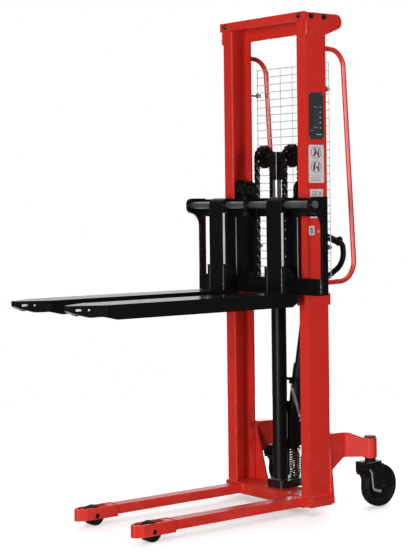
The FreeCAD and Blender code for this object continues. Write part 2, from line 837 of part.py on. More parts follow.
def carriage_upright(side, label):
    """A flat bar behind the crossbars, with the plate that reaches back into the mast."""
    join = at_y(-s.carriage_back)
    flat_y = (at_y(-s.carriage_front + s.carriage_bar_depth), join)
    flat = block(f"{label}_flat", sided(side, s.upright_inner, s.upright_outer), flat_y,
                 (s.carriage_low, s.carriage_top - 4))
    back = at_y(s.guide_y + 40)
    low = s.guide_lower_z - 40
    top = s.guide_upper_z + 40
    outline = [
        (join, low), (back, low), (back, top), (at_y(s.guide_y - 40), top),
        (at_y(s.guide_y - 40), top - 70), (join, top - 100),
    ]
    span = sided(side, s.upright_inner, s.upright_inner + s.plate)
    web = plate(f"{label}_web", "YZ", outline, span, [(1, 38), (2, 39), (3, 38)])
    holes = [
        rod(f"{label}_hole_{number}", s.guide_axle_radius, s.plate,
            (span[0], at_y(s.guide_y), z), "X")
        for number, z in enumerate((s.guide_lower_z, s.guide_upper_z))
    ]
    solid = fused(f"{label}_solid", [flat, web])
    return keep(cut(label, solid, fused(f"{label}_holes", holes)), label)


def fork_bar():
    spot = (-s.bar_half, at_y(-s.bar_y), s.bar_z)
    return keep(rod("fork_bar", s.bar_radius, s.bar_half * 2, spot, "X"), "fork_bar")


def guide_axles():
    """Four stub axles, headed on the inside, for the rollers that run in the mast."""
    axles = []
    for name, side in SIDES.items():
        for level, z in (("upper", s.guide_upper_z), ("lower", s.guide_lower_z)):
            shank_x = sided(side, s.upright_inner, s.guide_inner + s.guide_width)
            head_x = sided(side, s.upright_inner - 9, s.upright_inner)
            y = at_y(s.guide_y)
            shank = rod(f"guide_shank_{level}_{name}", s.guide_axle_radius,
                        shank_x[1] - shank_x[0], (shank_x[0], y, z), "X")
            head = rod(f"guide_head_{level}_{name}", 18, 9, (head_x[0], y, z), "X")
            axles.append(fused(f"guide_axle_{level}_{name}", [shank, head]))
    return keep(grouped("guide_axles", axles), "guide_axles")


def guide_rollers(label, z):
    """The pair of rollers at one level, one in each mast channel."""
    rollers = []
    for name, side in SIDES.items():
        span = sided(side, s.guide_inner, s.guide_inner + s.guide_width)
        rollers.append(tube(f"{label}_{name}", s.guide_radius,
                            s.guide_axle_radius + s.running_fit, s.guide_width,
                            (span[0], at_y(s.guide_y), z), "X"))
    return keep(grouped(label, rollers), label)


# ---------------------------------------------------------------- forks

def fork(side, label):
    """A folded fork blade with its shank, heel block and the eye that hangs on the bar."""
    x = side * s.fork_x
    pieces = [fork_blade(x, label), fork_shank(x, label)]
    return keep(fused(label, pieces), label)


def fork_blade(x, label):
    """An inverted trough that narrows to the tip and has a shaped lower edge there."""
    half, top = s.fork_width / 2, s.fork_top
    low = top - s.fork_depth
    blank = plate(f"{label}_blank", "XY", blade_plan(x, half, 14, 0, 0), (low, top))
    wall = s.fork_wall
    room = plate(f"{label}_room", "XY", blade_plan(x, half - wall, 7, 24, 5),
                 (low, top - s.fork_skin))
    tip = at_y(-FORWARD_REACH)
    under = [
        (tip - 5, low - 5), (tip - 5, top - 20), (tip, top - 20), (tip + 13, top - 28),
        (tip + 70, top - 46), (tip + 112, top - 43), (tip + 175, low), (tip + 175, low - 5),
    ]
    edge = plate(f"{label}_edge", "YZ", under, (x - half - 1, x + half + 1), [(4, 40), (5, 50)])
    heel = at_y(-s.fork_heel)
    slope = plate(f"{label}_heel_slope", "YZ", [
        (heel + 1, low - 1), (heel + 1, low + 16), (heel, low + 16), (heel - 26, low),
        (heel - 26, low - 1),
    ], (x - half - 1, x + half + 1))
    slot = block(f"{label}_slot", (x - half, x + half), (tip + 24, tip + 46), (top - 21, top - 12))
    hole = rod(f"{label}_hole", 4.5, s.fork_width, (x - half, tip + 68, top - 17), "X")
    return cut(f"{label}_blade", blank, fused(f"{label}_cuts", [room, edge, slope, slot, hole]))


def blade_plan(x, half, nose, inset, past_heel):
    """Plan of the blade, or of its inside, which is open at the heel."""
    heel = at_y(-s.fork_heel) + past_heel
    tip = at_y(-FORWARD_REACH) + inset
    shoulder = at_y(-FORWARD_REACH) + 125
    return [(x - half, heel), (x - half, shoulder), (x - nose, tip), (x + nose, tip),
            (x + half, shoulder), (x + half, heel)]


def fork_shank(x, label):
    front = at_y(-s.bar_y) - s.eye_radius
    shank = block(f"{label}_shank", (x - s.shank_half, x + s.shank_half),
                  (front, front + s.shank_thick), (s.fork_top, s.bar_z))
    profile = [
        (front, s.fork_top), (at_y(-s.carriage_front - 1), s.fork_top),
        (at_y(-s.carriage_front - 1), s.fork_top + s.heel_height - 30),
        (front + s.shank_thick + 4, s.fork_top + s.heel_height),
        (front, s.fork_top + s.heel_height),
    ]
    heel = plate(f"{label}_heel", "YZ", profile, (x - s.heel_half, x + s.heel_half))
    spot = (x - s.shank_half, at_y(-s.bar_y), s.bar_z)
    width = s.shank_half * 2
    eye = rod(f"{label}_eye", s.eye_radius, width, spot, "X")
    bore = rod(f"{label}_bore", s.bar_radius + s.running_fit, width, spot, "X")
    return cut(f"{label}_hanger", fused(f"{label}_upright", [shank, heel, eye]), bore)


# ---------------------------------------------------------------- guard, rails and labels

GUARD_COLUMNS = 7
GUARD_ROWS = 28


def mesh_guard():
    """The operator's wire screen: crossing wires welded where they meet."""
    wire = s.guard_wire
    y = at_y(s.guard_y)
    wires = []
    for number in range(GUARD_COLUMNS):
        x = -s.guard_half + (s.guard_half * 2 - wire) * number / (GUARD_COLUMNS - 1)
        wires.append(block(f"guard_upright_{number}", (x, x + wire), (y, y + wire),
                           (s.guard_low, s.guard_top)))
    for number in range(GUARD_ROWS):
        z = s.guard_low + (s.guard_top - s.guard_low - wire) * number / (GUARD_ROWS - 1)
        wires.append(block(f"guard_row_{number}", (-s.guard_half, s.guard_half),
                           (y - wire + 1, y + 1), (z, z + wire)))
    return keep(fused("mesh_guard", wires), "mesh_guard")


def guard_bolts():
    """Four standoff bolts that hold the screen behind the columns."""
    bolts = []
    start = at_y(s.column_depth)
    reach = s.guard_y - s.column_depth
    for name, side in SIDES.items():
        for level, z in (("upper", 1768), ("lower", 1103)):
            x = side * 224
            shank = rod(f"guard_shank_{level}_{name}", 5, reach - 3, (x, start, z), "Y")
            washer = rod(f"guard_washer_{level}_{name}", 11, 3, (x, start + reach - 7, z), "Y")
            head = rod(f"guard_head_{level}_{name}", 8, 6, (x, start + reach + 4, z), "Y")
            core = rod(f"guard_core_{level}_{name}", 2.5, 12, (x, start + reach - 7, z), "Y")
            bolts.append(fused(f"guard_bolt_{level}_{name}", [shank, washer, core, head]))
    return keep(grouped("guard_bolts", bolts), "guard_bolts")


def handrail(side, label):
    """A bent tube welded to the back of a column."""
    x = float(side * s.rail_x)
    back = float(at_y(0))
    root = float(at_y(s.column_depth))
    points = [
        FreeCAD.Vector(x, root, 1936), FreeCAD.Vector(x, back + 226, 1932),
        FreeCAD.Vector(x, back + 284, 961), FreeCAD.Vector(x, root, 958),
    ]
    path = rounded_path(points, {1: 78, 2: 85})
    shape = pipe(path, float(s.rail_radius))
    box = Part.makeBox(80, 60, 1200, FreeCAD.Vector(x - 40, root - 60, 850))
    return keep(coded(label, shape.cut(box)), label)


def identification_labels():
    """Rating plate, pictogram label and small tag on the operator's left column."""
    face = half_span()
    spots = {
        "rating_plate": ((15, 97), (1554, 1749)),
        "pictogram_label": ((12, 96), (1374, 1531)),
        "small_label": ((17, 89), (1319, 1348)),
        "tag": ((9, 38), (1158, 1196)),
    }
    labels = [
        block(name, (face, face + 1.5), (at_y(span_y[0]), at_y(span_y[1])), span_z)
        for name, (span_y, span_z) in spots.items()
    ]
    return keep(grouped("identification_labels", labels), "identification_labels")


# ---------------------------------------------------------------- pump and tiller

def pump_body():
    """The cast block on which the barrel stands, with the sleeve that guides the plunger."""
    top = s.barrel_low
    outline = [
        (-s.pump_half, at_y(s.pump_front)), (s.pump_half, at_y(s.pump_front)),
        (s.pump_half, at_y(s.pump_back)), (-s.pump_half, at_y(s.pump_back)),
    ]
    rounds = [(0, 14), (1, 14), (2, 20), (3, 20)]
    blank = plate("pump_blank", "XY", outline, (s.base_top, top), rounds)
    sleeve = rod("pump_sleeve", s.plunger_sleeve, s.plunger_sleeve_top - s.base_top,
                 (0, at_y(s.plunger_y), s.base_top), "Z")
    well = rod("pump_well", s.plunger_radius + s.running_fit, s.plunger_sleeve_top - s.base_top - 8,
               (0, at_y(s.plunger_y), s.base_top + 8), "Z")
    return keep(cut("pump_body", fused("pump_casting", [blank, sleeve]), well), "pump_body")


def release_valve():
    """The lowering valve on the side of the pump block, with its small lever."""
    start = s.pump_half
    spindle = rod("valve_spindle", 9, 16, (start, at_y(140), 93), "X")
    lever = block("valve_lever", (start + 10, start + 16), (at_y(134), at_y(146)), (93, 138))
    return keep(fused("release_valve", [spindle, lever]), "release_valve")


def tiller_bracket():
    """Pivot lugs and the spring arm, welded to the back of the barrel."""
    y = at_y(s.cylinder_y)
    pivot = at_y(s.pivot_y)
    pieces = []
    for name, side in SIDES.items():
        outline = [
            (y, s.pivot_z - 22), (pivot + 11, s.pivot_z - 11), (pivot + 11, s.pivot_z + 11),
            (y, s.pivot_z + 22),
        ]
        pieces.append(plate(f"pivot_lug_{name}", "YZ", outline, sided(side, 16, 24),
                            [(1, 9), (2, 9)]))
    pieces.append(block("spring_arm", (18, 44), (y, at_y(s.pivot_y - 24)), (536, 546)))
    pieces.append(block("spring_hook", (36, 44), (at_y(93), at_y(s.pivot_y - 17)), (520, 546)))
    solid = fused("tiller_bracket_blank", pieces)
    barrel = rod("tiller_bracket_seat", s.barrel_radius, 400, (0, y, 180), "Z")
    pin = rod("tiller_bracket_bore", s.pivot_radius, 60, (-30, pivot, s.pivot_z), "X")
    return keep(cut("tiller_bracket", solid, fused("tiller_bracket_room", [barrel, pin])),
                "tiller_bracket")


def tiller_pin():
    reach = s.yoke_outer + 6
    spot = (-reach, at_y(s.pivot_y), s.pivot_z)
    return keep(rod("tiller_pin", s.pivot_radius, reach * 2, spot, "X"), "tiller_pin")


def pump_plunger():
    """The plunger that the tiller's roller presses, with the round seat of its spring."""
    y = at_y(s.plunger_y)
    stem = rod("plunger_stem", s.plunger_radius, s.plunger_top - s.plunger_low,
               (0, y, s.plunger_low), "Z")
    cap = rod("plunger_head", s.plunger_cap, 5, (0, y, s.plunger_cap_z), "Z")
    return keep(fused("pump_plunger", [stem, cap]), "pump_plunger")


def pump_spring():
    """The coil spring that lifts the plunger again."""
    wire = 2.6
    length = float(s.plunger_cap_z - s.barrel_low) - 2 * wire - 0.4
    shape = coil(float(s.plunger_cap) - wire, wire, length, 11)
    item = coded("pump_spring", shape)
    place(item, 0, at_y(s.plunger_y), s.barrel_low + wire + 0.2)
    return keep(item, "pump_spring")


def on_tiller(across, along, beside=0):
    """A point given across the tiller, up its length and to its rear."""
    lean = math.radians(float(s.tiller_lean))
    y = float(at_y(s.pivot_y)) + along * math.sin(lean) + beside * math.cos(lean)
    z = float(s.pivot_z) + along * math.cos(lean) - beside * math.sin(lean)
    return FreeCAD.Vector(across, y, z)


def leaning(item):
    """Leans an object that was built upright at the pivot back with the tiller."""
    item.Placement = FreeCAD.Placement(ORIGIN, FreeCAD.Rotation(AXES["X"], 0))
    bind(item, "Placement.Rotation.Angle", -s.tiller_lean)
    return place(item, 0, at_y(s.pivot_y), s.pivot_z)


YOKE_TOP = 185.0            # up the tiller from its pivot to the top of the yoke
SHAFT_START = 140.0
SOCKET_TOP = 350.0          # the thicker tube that holds the shaft's lower end
SOCKET_RADIUS = 25.0
HEAD_START = 622.0          # where the shaft enters the handle's head
ROLLER_OFFSET = (30.0, 13.5)  # from the pivot to the pressure roller, rearward and up
ROLLER_RADIUS = 12.0


def tiller_arm():
    """The shaft and the yoke whose cheeks straddle the pivot and hold the roller."""
    pieces = [
        rod("tiller_tube", s.tiller_radius, HEAD_START - SHAFT_START, (0, 0, SHAFT_START), "Z"),
        rod("tiller_socket", SOCKET_RADIUS, SOCKET_TOP - SHAFT_START, (0, 0, SHAFT_START), "Z"),
    ]
    back, up = ROLLER_OFFSET
    lean = math.radians(float(s.tiller_lean))
    roller = (back * math.cos(lean) - up * math.sin(lean), back * math.sin(lean) + up * math.cos(lean))
    cheek = [
        (-13, -13), (12, -13), (roller[0] + 11, roller[1] - 9), (roller[0] + 11, roller[1] + 12),
        (21, 90), (21, YOKE_TOP), (-21, YOKE_TOP), (-46, 165), (-30, 42),
    ]
    rounds = [(0, 11), (2, 9), (3, 9), (5, 8), (6, 8), (7, 10)]
    for name, side in SIDES.items():
        span = sided(side, s.yoke_inner, s.yoke_outer)
        pieces.append(plate(f"yoke_cheek_{name}", "YZ", cheek, span, rounds))
    pieces.append(block("yoke_web", (-s.yoke_inner, s.yoke_inner), (-19, 19), (SHAFT_START, YOKE_TOP)))
    ear = rod("spring_ear", 4, 14, (s.yoke_outer, 12, 103), "X")
    solid = fused("tiller_arm_blank", [*pieces, ear])
    length = s.yoke_outer * 2
    bores = [
        rod("yoke_pivot_bore", s.pivot_radius + s.running_fit, length, (-s.yoke_outer, 0, 0), "X"),
        rod("yoke_roller_bore", 6, length, (-s.yoke_outer, *roller), "X"),
    ]
    return keep(leaning(cut("tiller_arm", solid, fused("yoke_bores", bores))), "tiller_arm")


def roller_pin():
    """The pin across the yoke on which the pressure roller turns."""
    spot = (-s.yoke_outer, at_y(s.pivot_y) + ROLLER_OFFSET[0], s.pivot_z + ROLLER_OFFSET[1])
    return keep(rod("roller_pin", 6, s.yoke_outer * 2, spot, "X"), "roller_pin")


def pressure_roller():
    half = s.yoke_inner - 2
    spot = (-half, at_y(s.pivot_y) + ROLLER_OFFSET[0], s.pivot_z + ROLLER_OFFSET[1])
    item = tube("pressure_roller", ROLLER_RADIUS, 6 + s.running_fit, half * 2, spot, "X")
    return keep(item, "pressure_roller")


LOOP_TOP = (930.0, 150.0)       # up the tiller, and the arc's radius there
LOOP_SHOULDER = (182.0, 878.0, 30.0)
LOOP_WAIST = (208.0, 797.0, 72.0)
LOOP_ROOT = 655.0


def loop_path():
    """The handle's centre line: a closed heart shape in the tiller's own plane."""
    points = [on_tiller(0, LOOP_TOP[0])]
    for across, along, _ in (LOOP_SHOULDER, LOOP_WAIST):
        points.append(on_tiller(across, along))
    points.append(on_tiller(0, LOOP_ROOT))
    for across, along, _ in (LOOP_WAIST, LOOP_SHOULDER):
        points.append(on_tiller(-across, along))
    radii = {0: LOOP_TOP[1], 1: LOOP_SHOULDER[2], 2: LOOP_WAIST[2], 3: 30, 4: LOOP_WAIST[2],
             5: LOOP_SHOULDER[2]}
    return rounded_path(points, radii, closed=True)


def tiller_loop():
    """The looped handle and the cast head that joins it to the shaft."""
    loop = pipe(loop_path(), float(s.loop_radius))
    head = Part.makeBox(52, 40, 52, FreeCAD.Vector(-26, -20, HEAD_START))
    head = head.makeFillet(6, head.Edges)
    head.Placement = FreeCAD.Placement(on_tiller(0, 0), FreeCAD.Rotation(AXES["X"], -float(s.tiller_lean)))
    slot = Part.makeBox(18, 60, 40, FreeCAD.Vector(-9, -30, HEAD_START + 34))
    slot.Placement = head.Placement
    return keep(coded("tiller_loop", head.fuse(loop).cut(slot)), "tiller_loop")


def grip_path(side):
    """The centre line under one grip: down the sloping top of the loop."""
    shoulder = on_tiller(side * LOOP_SHOULDER[0], LOOP_SHOULDER[1])
    top = on_tiller(0, LOOP_TOP[0])
    slope = (shoulder - top).normalize()
    start = top + slope * 48
    return Part.Wire([Part.LineSegment(start, shoulder - slope * 18).toShape()])


def hand_grips():
    """Two sleeves on the top of the loop, each with a flange at its outer end."""
    sleeves = []
    for side in SIDES.values():
        path = grip_path(side)
        sleeve = pipe(path, float(s.grip_radius))
        core = pipe(path, float(s.loop_radius + s.running_fit))
        sleeves.append(sleeve.cut(core))
    return keep(coded("hand_grips", Part.Compound(sleeves)), "hand_grips")


LEVER_PIVOT = 664.0


def release_lever():
    """The lowering lever that stands in the loop, hinged in the head's slot."""
    blade = block("lever_blade", (-7, 7), (-4, 4), (LEVER_PIVOT - 4, LEVER_PIVOT + 100))
    hinge = rod("lever_hinge", 7, 16, (-8, 0, LEVER_PIVOT), "X")
    finger = rod("lever_finger", 7, 70, (-35, 0, LEVER_PIVOT + 100), "X")
    return keep(leaning(fused("release_lever", [blade, hinge, finger])), "release_lever")


def tiller_spring():
    """The extension spring that holds the tiller up, from the barrel arm to the yoke."""
    top = FreeCAD.Vector(40, float(at_y(s.pivot_y - 24)), 516)
    low = on_tiller(43, 103, 12)
    along = (top - low).normalize()
    low = low + along * 5
    rod_shape = Part.makeCylinder(5, (top - low).Length, low, along)
    return keep(coded("tiller_spring", rod_shape), "tiller_spring")


# ---------------------------------------------------------------- the whole machine

def build():
    for name, side in SIDES.items():
        mast_column(side, f"mast_column_{name}")
        straddle_leg(side, f"straddle_leg_{name}")
        load_roller(side, f"load_roller_{name}")
        caster_arm(side, f"caster_arm_{name}")
        caster_fork(side, f"caster_fork_{name}")
        caster_wheel(side, f"caster_wheel_{name}")
        brake_pedal(side, f"brake_pedal_{name}")
        carriage_side_plate(side, f"carriage_side_plate_{name}")
        carriage_upright(side, f"carriage_upright_{name}")
        fork(side, f"fork_{name}")
        handrail(side, f"handrail_{name}")
    mast_head()
    mast_head_bolts()
    beam_low = s.mast_top - 16 - s.beam_height
    keep(mast_crossbeam("rear_crossbeam", beam_low, s.beam_height), "rear_crossbeam")
    mid_crossbeam()
    base_frame()
    load_roller_axles()
    rear_plate()
    cylinder_barrel()
    cylinder_gland()
    piston_rod()
    crosshead()
    chain_sprockets()
    chain_runs("chains_front", at_y(s.sprocket_y) - pitch_radius(), s.lower_bar_top - 3)
    chain_runs("chains_rear", at_y(s.sprocket_y) + pitch_radius(), s.chain_anchor_z + 25)
    chain_wraps()
    chain_anchor_bracket()
    carriage_upper_bar()
    carriage_lower_bar()
    fork_bar()
    guide_axles()
    guide_rollers("upper_guide_rollers", s.guide_upper_z)
    guide_rollers("lower_guide_rollers", s.guide_lower_z)
    mesh_guard()
    guard_bolts()
    identification_labels()
    pump_body()
    release_valve()
    tiller_bracket()
    tiller_pin()
    pump_plunger()
    pump_spring()
    tiller_arm()
    roller_pin()
    pressure_roller()
    tiller_loop()
    hand_grips()
    release_lever()
    tiller_spring()


def check():
    """Stops with a plain message if anything failed to rebuild."""
    broken = [item.Name for item in doc.Objects if {"Invalid", "Error"} & set(item.State)]
    if broken:
        raise RuntimeError(f"failed objects: {broken}")
    for item in subparts:
        if item.Shape.isNull() or not item.Shape.isValid() or not item.Shape.Solids:
            raise RuntimeError(f"bad shape: {item.Label}")


def write():
    os.makedirs("parts", exist_ok=True)
    for item in subparts:
        item.Shape.exportStep(os.path.join("parts", f"{item.Label}.step"))


build()
doc.recompute()
check()
write()
print(len(subparts), "sub-parts written")
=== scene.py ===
"""Visual model of the hand-pumped stacker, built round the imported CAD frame. Metres, +Z up."""
import json
import math
import random

import bmesh
import bpy
from mathutils import Matrix, Vector


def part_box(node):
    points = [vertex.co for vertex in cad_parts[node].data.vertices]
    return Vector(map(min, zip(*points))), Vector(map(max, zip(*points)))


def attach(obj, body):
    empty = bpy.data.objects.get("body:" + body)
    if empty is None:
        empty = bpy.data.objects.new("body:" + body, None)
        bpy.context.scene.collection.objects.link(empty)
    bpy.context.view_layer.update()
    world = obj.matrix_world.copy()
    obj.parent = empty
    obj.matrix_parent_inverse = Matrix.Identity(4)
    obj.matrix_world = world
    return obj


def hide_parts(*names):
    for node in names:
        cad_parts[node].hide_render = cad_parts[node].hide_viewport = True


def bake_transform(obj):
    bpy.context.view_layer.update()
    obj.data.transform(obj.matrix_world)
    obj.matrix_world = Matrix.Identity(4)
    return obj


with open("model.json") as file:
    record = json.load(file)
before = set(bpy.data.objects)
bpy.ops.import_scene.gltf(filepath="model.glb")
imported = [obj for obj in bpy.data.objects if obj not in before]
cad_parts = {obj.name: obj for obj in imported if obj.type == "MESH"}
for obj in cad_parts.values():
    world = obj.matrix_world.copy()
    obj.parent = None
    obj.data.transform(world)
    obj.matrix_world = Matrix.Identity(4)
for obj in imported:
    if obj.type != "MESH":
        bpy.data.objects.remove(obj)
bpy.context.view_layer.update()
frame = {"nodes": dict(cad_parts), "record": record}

NODES = frame["nodes"]
SIDES = {"left": 1, "right": -1}
X_AXIS = Vector((1, 0, 0))
Y_AXIS = Vector((0, 1, 0))
Z_AXIS = Vector((0, 0, 1))
CHANCE = random.Random(7)
PROUD = 0.0002


def middle(node):
    """The centre of a CAD node's box at rest."""
    low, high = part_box(node)
    return (low + high) / 2


COLUMN_LOW, COLUMN_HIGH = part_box("mast_column_left")
MAST_FRONT = COLUMN_LOW.y
MAST_REAR = COLUMN_HIGH.y
MAST_OUTER = COLUMN_HIGH.x
MAST_INNER = COLUMN_LOW.x


# ---------------------------------------------------------------- material graphs

class Graph:
    """A material's node tree with short calls for the few nodes used here."""

    def __init__(self, name):
        self.material = bpy.data.materials.new(name)
        self.material.use_nodes = True
        self.tree = self.material.node_tree
        self.shader = self.tree.nodes["Principled BSDF"]
        self.place = self.node("ShaderNodeTexCoord").outputs["Object"]

    def node(self, kind, **inputs):
        """Adds a node and feeds its named inputs, with _ standing for a space."""
        made = self.tree.nodes.new(kind)
        for key, value in inputs.items():
            self.feed(made.inputs[key.replace("_", " ")], value)
        return made

    def feed(self, socket, value):
        """Links a socket to an input, or sets the input to a number or colour."""
        if isinstance(value, bpy.types.NodeSocket):
            self.tree.links.new(value, socket)
        elif isinstance(value, tuple) and len(value) == 3 and socket.type == "RGBA":
            socket.default_value = (*value, 1.0)
        else:
            socket.default_value = value

    def stretched(self, scale, shift=(0.0, 0.0, 0.0)):
        """Object coordinates scaled by a vector, after a shift."""
        moved = self.node("ShaderNodeMapping", Vector=self.place, Location=shift).outputs["Vector"]
        return self.node("ShaderNodeMapping", Vector=moved, Scale=scale).outputs["Vector"]

    def noise(self, scale, detail=4.0, roughness=0.55, where=None):
        """Cloudy 0 to 1 noise fixed to the object."""
        made = self.node("ShaderNodeTexNoise", Vector=where or self.place, Scale=scale,
                         Detail=detail, Roughness=roughness)
        return made.outputs["Fac"]

    def steps(self, value, low, high):
        """0 below low, 1 above high, and a smooth rise between them."""
        made = self.node("ShaderNodeMapRange", Value=value, From_Min=low, From_Max=high)
        made.interpolation_type = "SMOOTHSTEP"
        return made.outputs["Result"]

    def between(self, value, low, high):
        """Spreads a 0 to 1 value over a range."""
        return self.node("ShaderNodeMapRange", Value=value, To_Min=low, To_Max=high).outputs["Result"]

    def maths(self, operation, first, second):
        """One arithmetic step between two values."""
        made = self.tree.nodes.new("ShaderNodeMath")
        made.operation = operation
        self.feed(made.inputs[0], first)
        self.feed(made.inputs[1], second)
        return made.outputs["Value"]

    def times(self, first, second):
        return self.maths("MULTIPLY", first, second)

    def plus(self, first, second):
        return self.maths("ADD", first, second)

    def mixed(self, share, first, second):
        """The first colour at share 0, the second at share 1."""
        made = self.tree.nodes.new("ShaderNodeMix")
        made.data_type = "RGBA"
        self.feed(made.inputs[0], share)
        self.feed(made.inputs[6], first)
        self.feed(made.inputs[7], second)
        return made.outputs[2]

    def height(self):
        """How high a point of the surface is above the floor, in metres."""
        return self.node("ShaderNodeSeparateXYZ", Vector=self.place).outputs["Z"]

    def spot(self, centre, size):
        """1 in the middle of a soft ellipsoid and 0 outside it."""
        scale = tuple(1.0 / length for length in size)
        inside = self.stretched(scale, tuple(-place for place in centre))
        length = self.tree.nodes.new("ShaderNodeVectorMath")
        length.operation = "LENGTH"
        self.feed(length.inputs[0], inside)
        return self.steps(length.outputs["Value"], 1.0, 0.35)

    def edges(self, radius):
        """1 on sharp outer and inner edges, 0 on flat faces, with the softened normal."""
        bevel = self.node("ShaderNodeBevel", Radius=radius)
        bevel.samples = 4
        plain = self.node("ShaderNodeNewGeometry").outputs["Normal"]
        dot = self.tree.nodes.new("ShaderNodeVectorMath")
        dot.operation = "DOT_PRODUCT"
        self.feed(dot.inputs[0], bevel.outputs["Normal"])
        self.feed(dot.inputs[1], plain)
        return self.maths("SUBTRACT", 1.0, dot.outputs["Value"]), bevel.outputs["Normal"]

    def bump(self, height, strength, distance, normal=None):
        """A normal roughened by a height value, on top of another normal if one is given."""
        made = self.node("ShaderNodeBump", Height=height, Strength=strength, Distance=distance)
        if normal is not None:
            self.feed(made.inputs["Normal"], normal)
        return made.outputs["Normal"]

    def finish(self, **inputs):
        """Feeds the shader and hands back the material."""
        for key, value in inputs.items():
            self.feed(self.shader.inputs[key.replace("_", " ")], value)
        return self.material


def paint(name, colour, shade, chip, rough, coat=0.1, peel=0.2, dusty=0.2, grease=(), shine=0.5,
          coat_rough=0.1):
    """Sprayed machine paint: uneven colour, orange peel, chipped edges, dust and grease."""
    g = Graph(name)
    base = g.mixed(g.steps(g.noise(2.2, 3.0), 0.35, 0.7), colour, shade)
    edge, soft_normal = g.edges(0.0014)
    ragged = g.times(g.steps(edge, 0.08, 0.3), g.steps(g.noise(45.0, 6.0, 0.7), 0.58, 0.68))
    scuff = g.noise(9.0, 9.0, 0.75, g.stretched((1.0, 1.0, 0.35)))
    worn = g.maths("MAXIMUM", ragged, g.steps(scuff, 0.75, 0.78))
    painted = g.mixed(worn, base, chip)
    low = g.steps(g.height(), 0.45, 0.0)
    dust = g.times(g.times(low, g.steps(g.noise(14.0, 8.0, 0.7), 0.45, 0.8)), dusty)
    colour_out = g.mixed(dust, painted, (0.32, 0.26, 0.21))
    for centre, size in grease:
        smear = g.times(g.spot(centre, size), g.steps(g.noise(30.0, 7.0, 0.7), 0.38, 0.62))
        colour_out = g.mixed(smear, colour_out, (0.02, 0.010, 0.008))
    gloss = g.between(g.noise(26.0, 6.0), rough * 0.75, rough * 1.35)
    gloss = g.plus(g.plus(gloss, g.times(dust, 0.5)), g.times(worn, 0.25))
    skin = g.plus(g.noise(520.0, 2.0), g.times(worn, -2.0))
    return g.finish(Base_Color=colour_out, Roughness=gloss, Coat_Weight=coat, Coat_Roughness=coat_rough,
                    Specular_IOR_Level=shine, Normal=g.bump(skin, peel, 0.0002, soft_normal))


def steel(name, bright, dark, rough, grain=(8.0, 8.0, 300.0), metallic=1.0):
    """Bare or zinc-plated steel with machining lines, stains and soft edges."""
    g = Graph(name)
    colour_out = g.mixed(g.steps(g.noise(18.0, 7.0, 0.65), 0.35, 0.75), bright, dark)
    lines = g.noise(6.0, 5.0, 0.6, g.stretched(grain))
    _, soft_normal = g.edges(0.001)
    return g.finish(Base_Color=colour_out, Metallic=metallic,
                    Roughness=g.between(lines, rough * 0.7, rough * 1.4),
                    Normal=g.bump(lines, 0.2, 0.0002, soft_normal))


def oiled_steel(name, bright, dark, grease):
    """Chain and roller steel under a film of dark grease."""
    g = Graph(name)
    wet = g.steps(g.noise(60.0, 6.0, 0.7), 0.4, 0.68)
    colour_out = g.mixed(wet, g.mixed(g.noise(24.0), bright, dark), grease)
    _, soft_normal = g.edges(0.0008)
    return g.finish(Base_Color=colour_out, Metallic=0.75, Roughness=g.between(wet, 0.42, 0.2),
                    Normal=g.bump(g.noise(300.0, 4.0), 0.25, 0.0003, soft_normal))


def moulded(name, colour, shade, rough, grain=700.0, bumps=0.3, dusty=0.2, shine=0.5):
    """Moulded plastic or rubber with a fine grain, scuffs and dust near the floor."""
    g = Graph(name)
    base = g.mixed(g.noise(7.0, 5.0), colour, shade)
    scuff = g.steps(g.noise(30.0, 9.0, 0.75), 0.6, 0.72)
    low = g.steps(g.height(), 0.25, 0.0)
    dust = g.times(g.steps(g.noise(40.0, 8.0, 0.7), 0.5, 0.85), dusty)
    dust = g.times(dust, g.between(low, 0.2, 1.0))
    scuffed = g.mixed(g.times(scuff, 0.3), base, (0.06, 0.058, 0.056))
    gloss = g.plus(g.between(g.noise(50.0, 5.0), rough * 0.8, rough * 1.25), g.times(scuff, 0.12))
    _, soft_normal = g.edges(0.0012)
    return g.finish(Base_Color=g.mixed(dust, scuffed, (0.3, 0.28, 0.25)), Roughness=gloss,
                    Specular_IOR_Level=shine,
                    Normal=g.bump(g.noise(grain, 3.0), bumps, 0.0003, soft_normal))


def weld(name, colour, glint_colour):
    """Painted weld metal with small ripples and bright flecks, painted glints where the ripples catch the
    light.
    """
    g = Graph(name)
    glint = g.steps(g.noise(190.0, 3.0, 0.7), 0.58, 0.64)
    return g.finish(Base_Color=g.mixed(glint, colour, glint_colour), Roughness=g.between(glint, 0.35, 0.2),
                    Normal=g.bump(g.noise(600.0, 3.0), 0.5, 0.0005))


def film(name, colour, shade, rough):
    """Printed plastic film of a label."""
    g = Graph(name)
    base = g.mixed(g.noise(22.0, 6.0), colour, shade)
    return g.finish(Base_Color=base, Roughness=g.between(g.noise(90.0, 4.0), rough * 0.8, rough * 1.3),
                    Normal=g.bump(g.noise(260.0), 0.08, 0.0001))


def floor_paper():
    """Seamless white studio paper."""
    g = Graph("studio_paper")
    base = g.mixed(g.noise(1.5, 3.0), (0.93, 0.93, 0.93), (0.9, 0.9, 0.9))
    return g.finish(Base_Color=base, Roughness=0.9, Emission_Color=base, Emission_Strength=0.42)


RED = (0.62, 0.025, 0.015)
RED_SHADE = (0.56, 0.020, 0.013)
RED_CHIP = (0.18, 0.05, 0.035)
BLACK = (0.0035, 0.0034, 0.0036)
BLACK_SHADE = (0.0050, 0.0047, 0.0047)
BLACK_CHIP = (0.05, 0.047, 0.045)
GREASE = (0.008, 0.007, 0.007)
WEB_SMEAR_X = 0.2505
FLANGE_SMEAR_X = 0.228
WEB_SMEARS = ((0.52, 0.045), (0.155, 0.03), (1.22, 0.06))


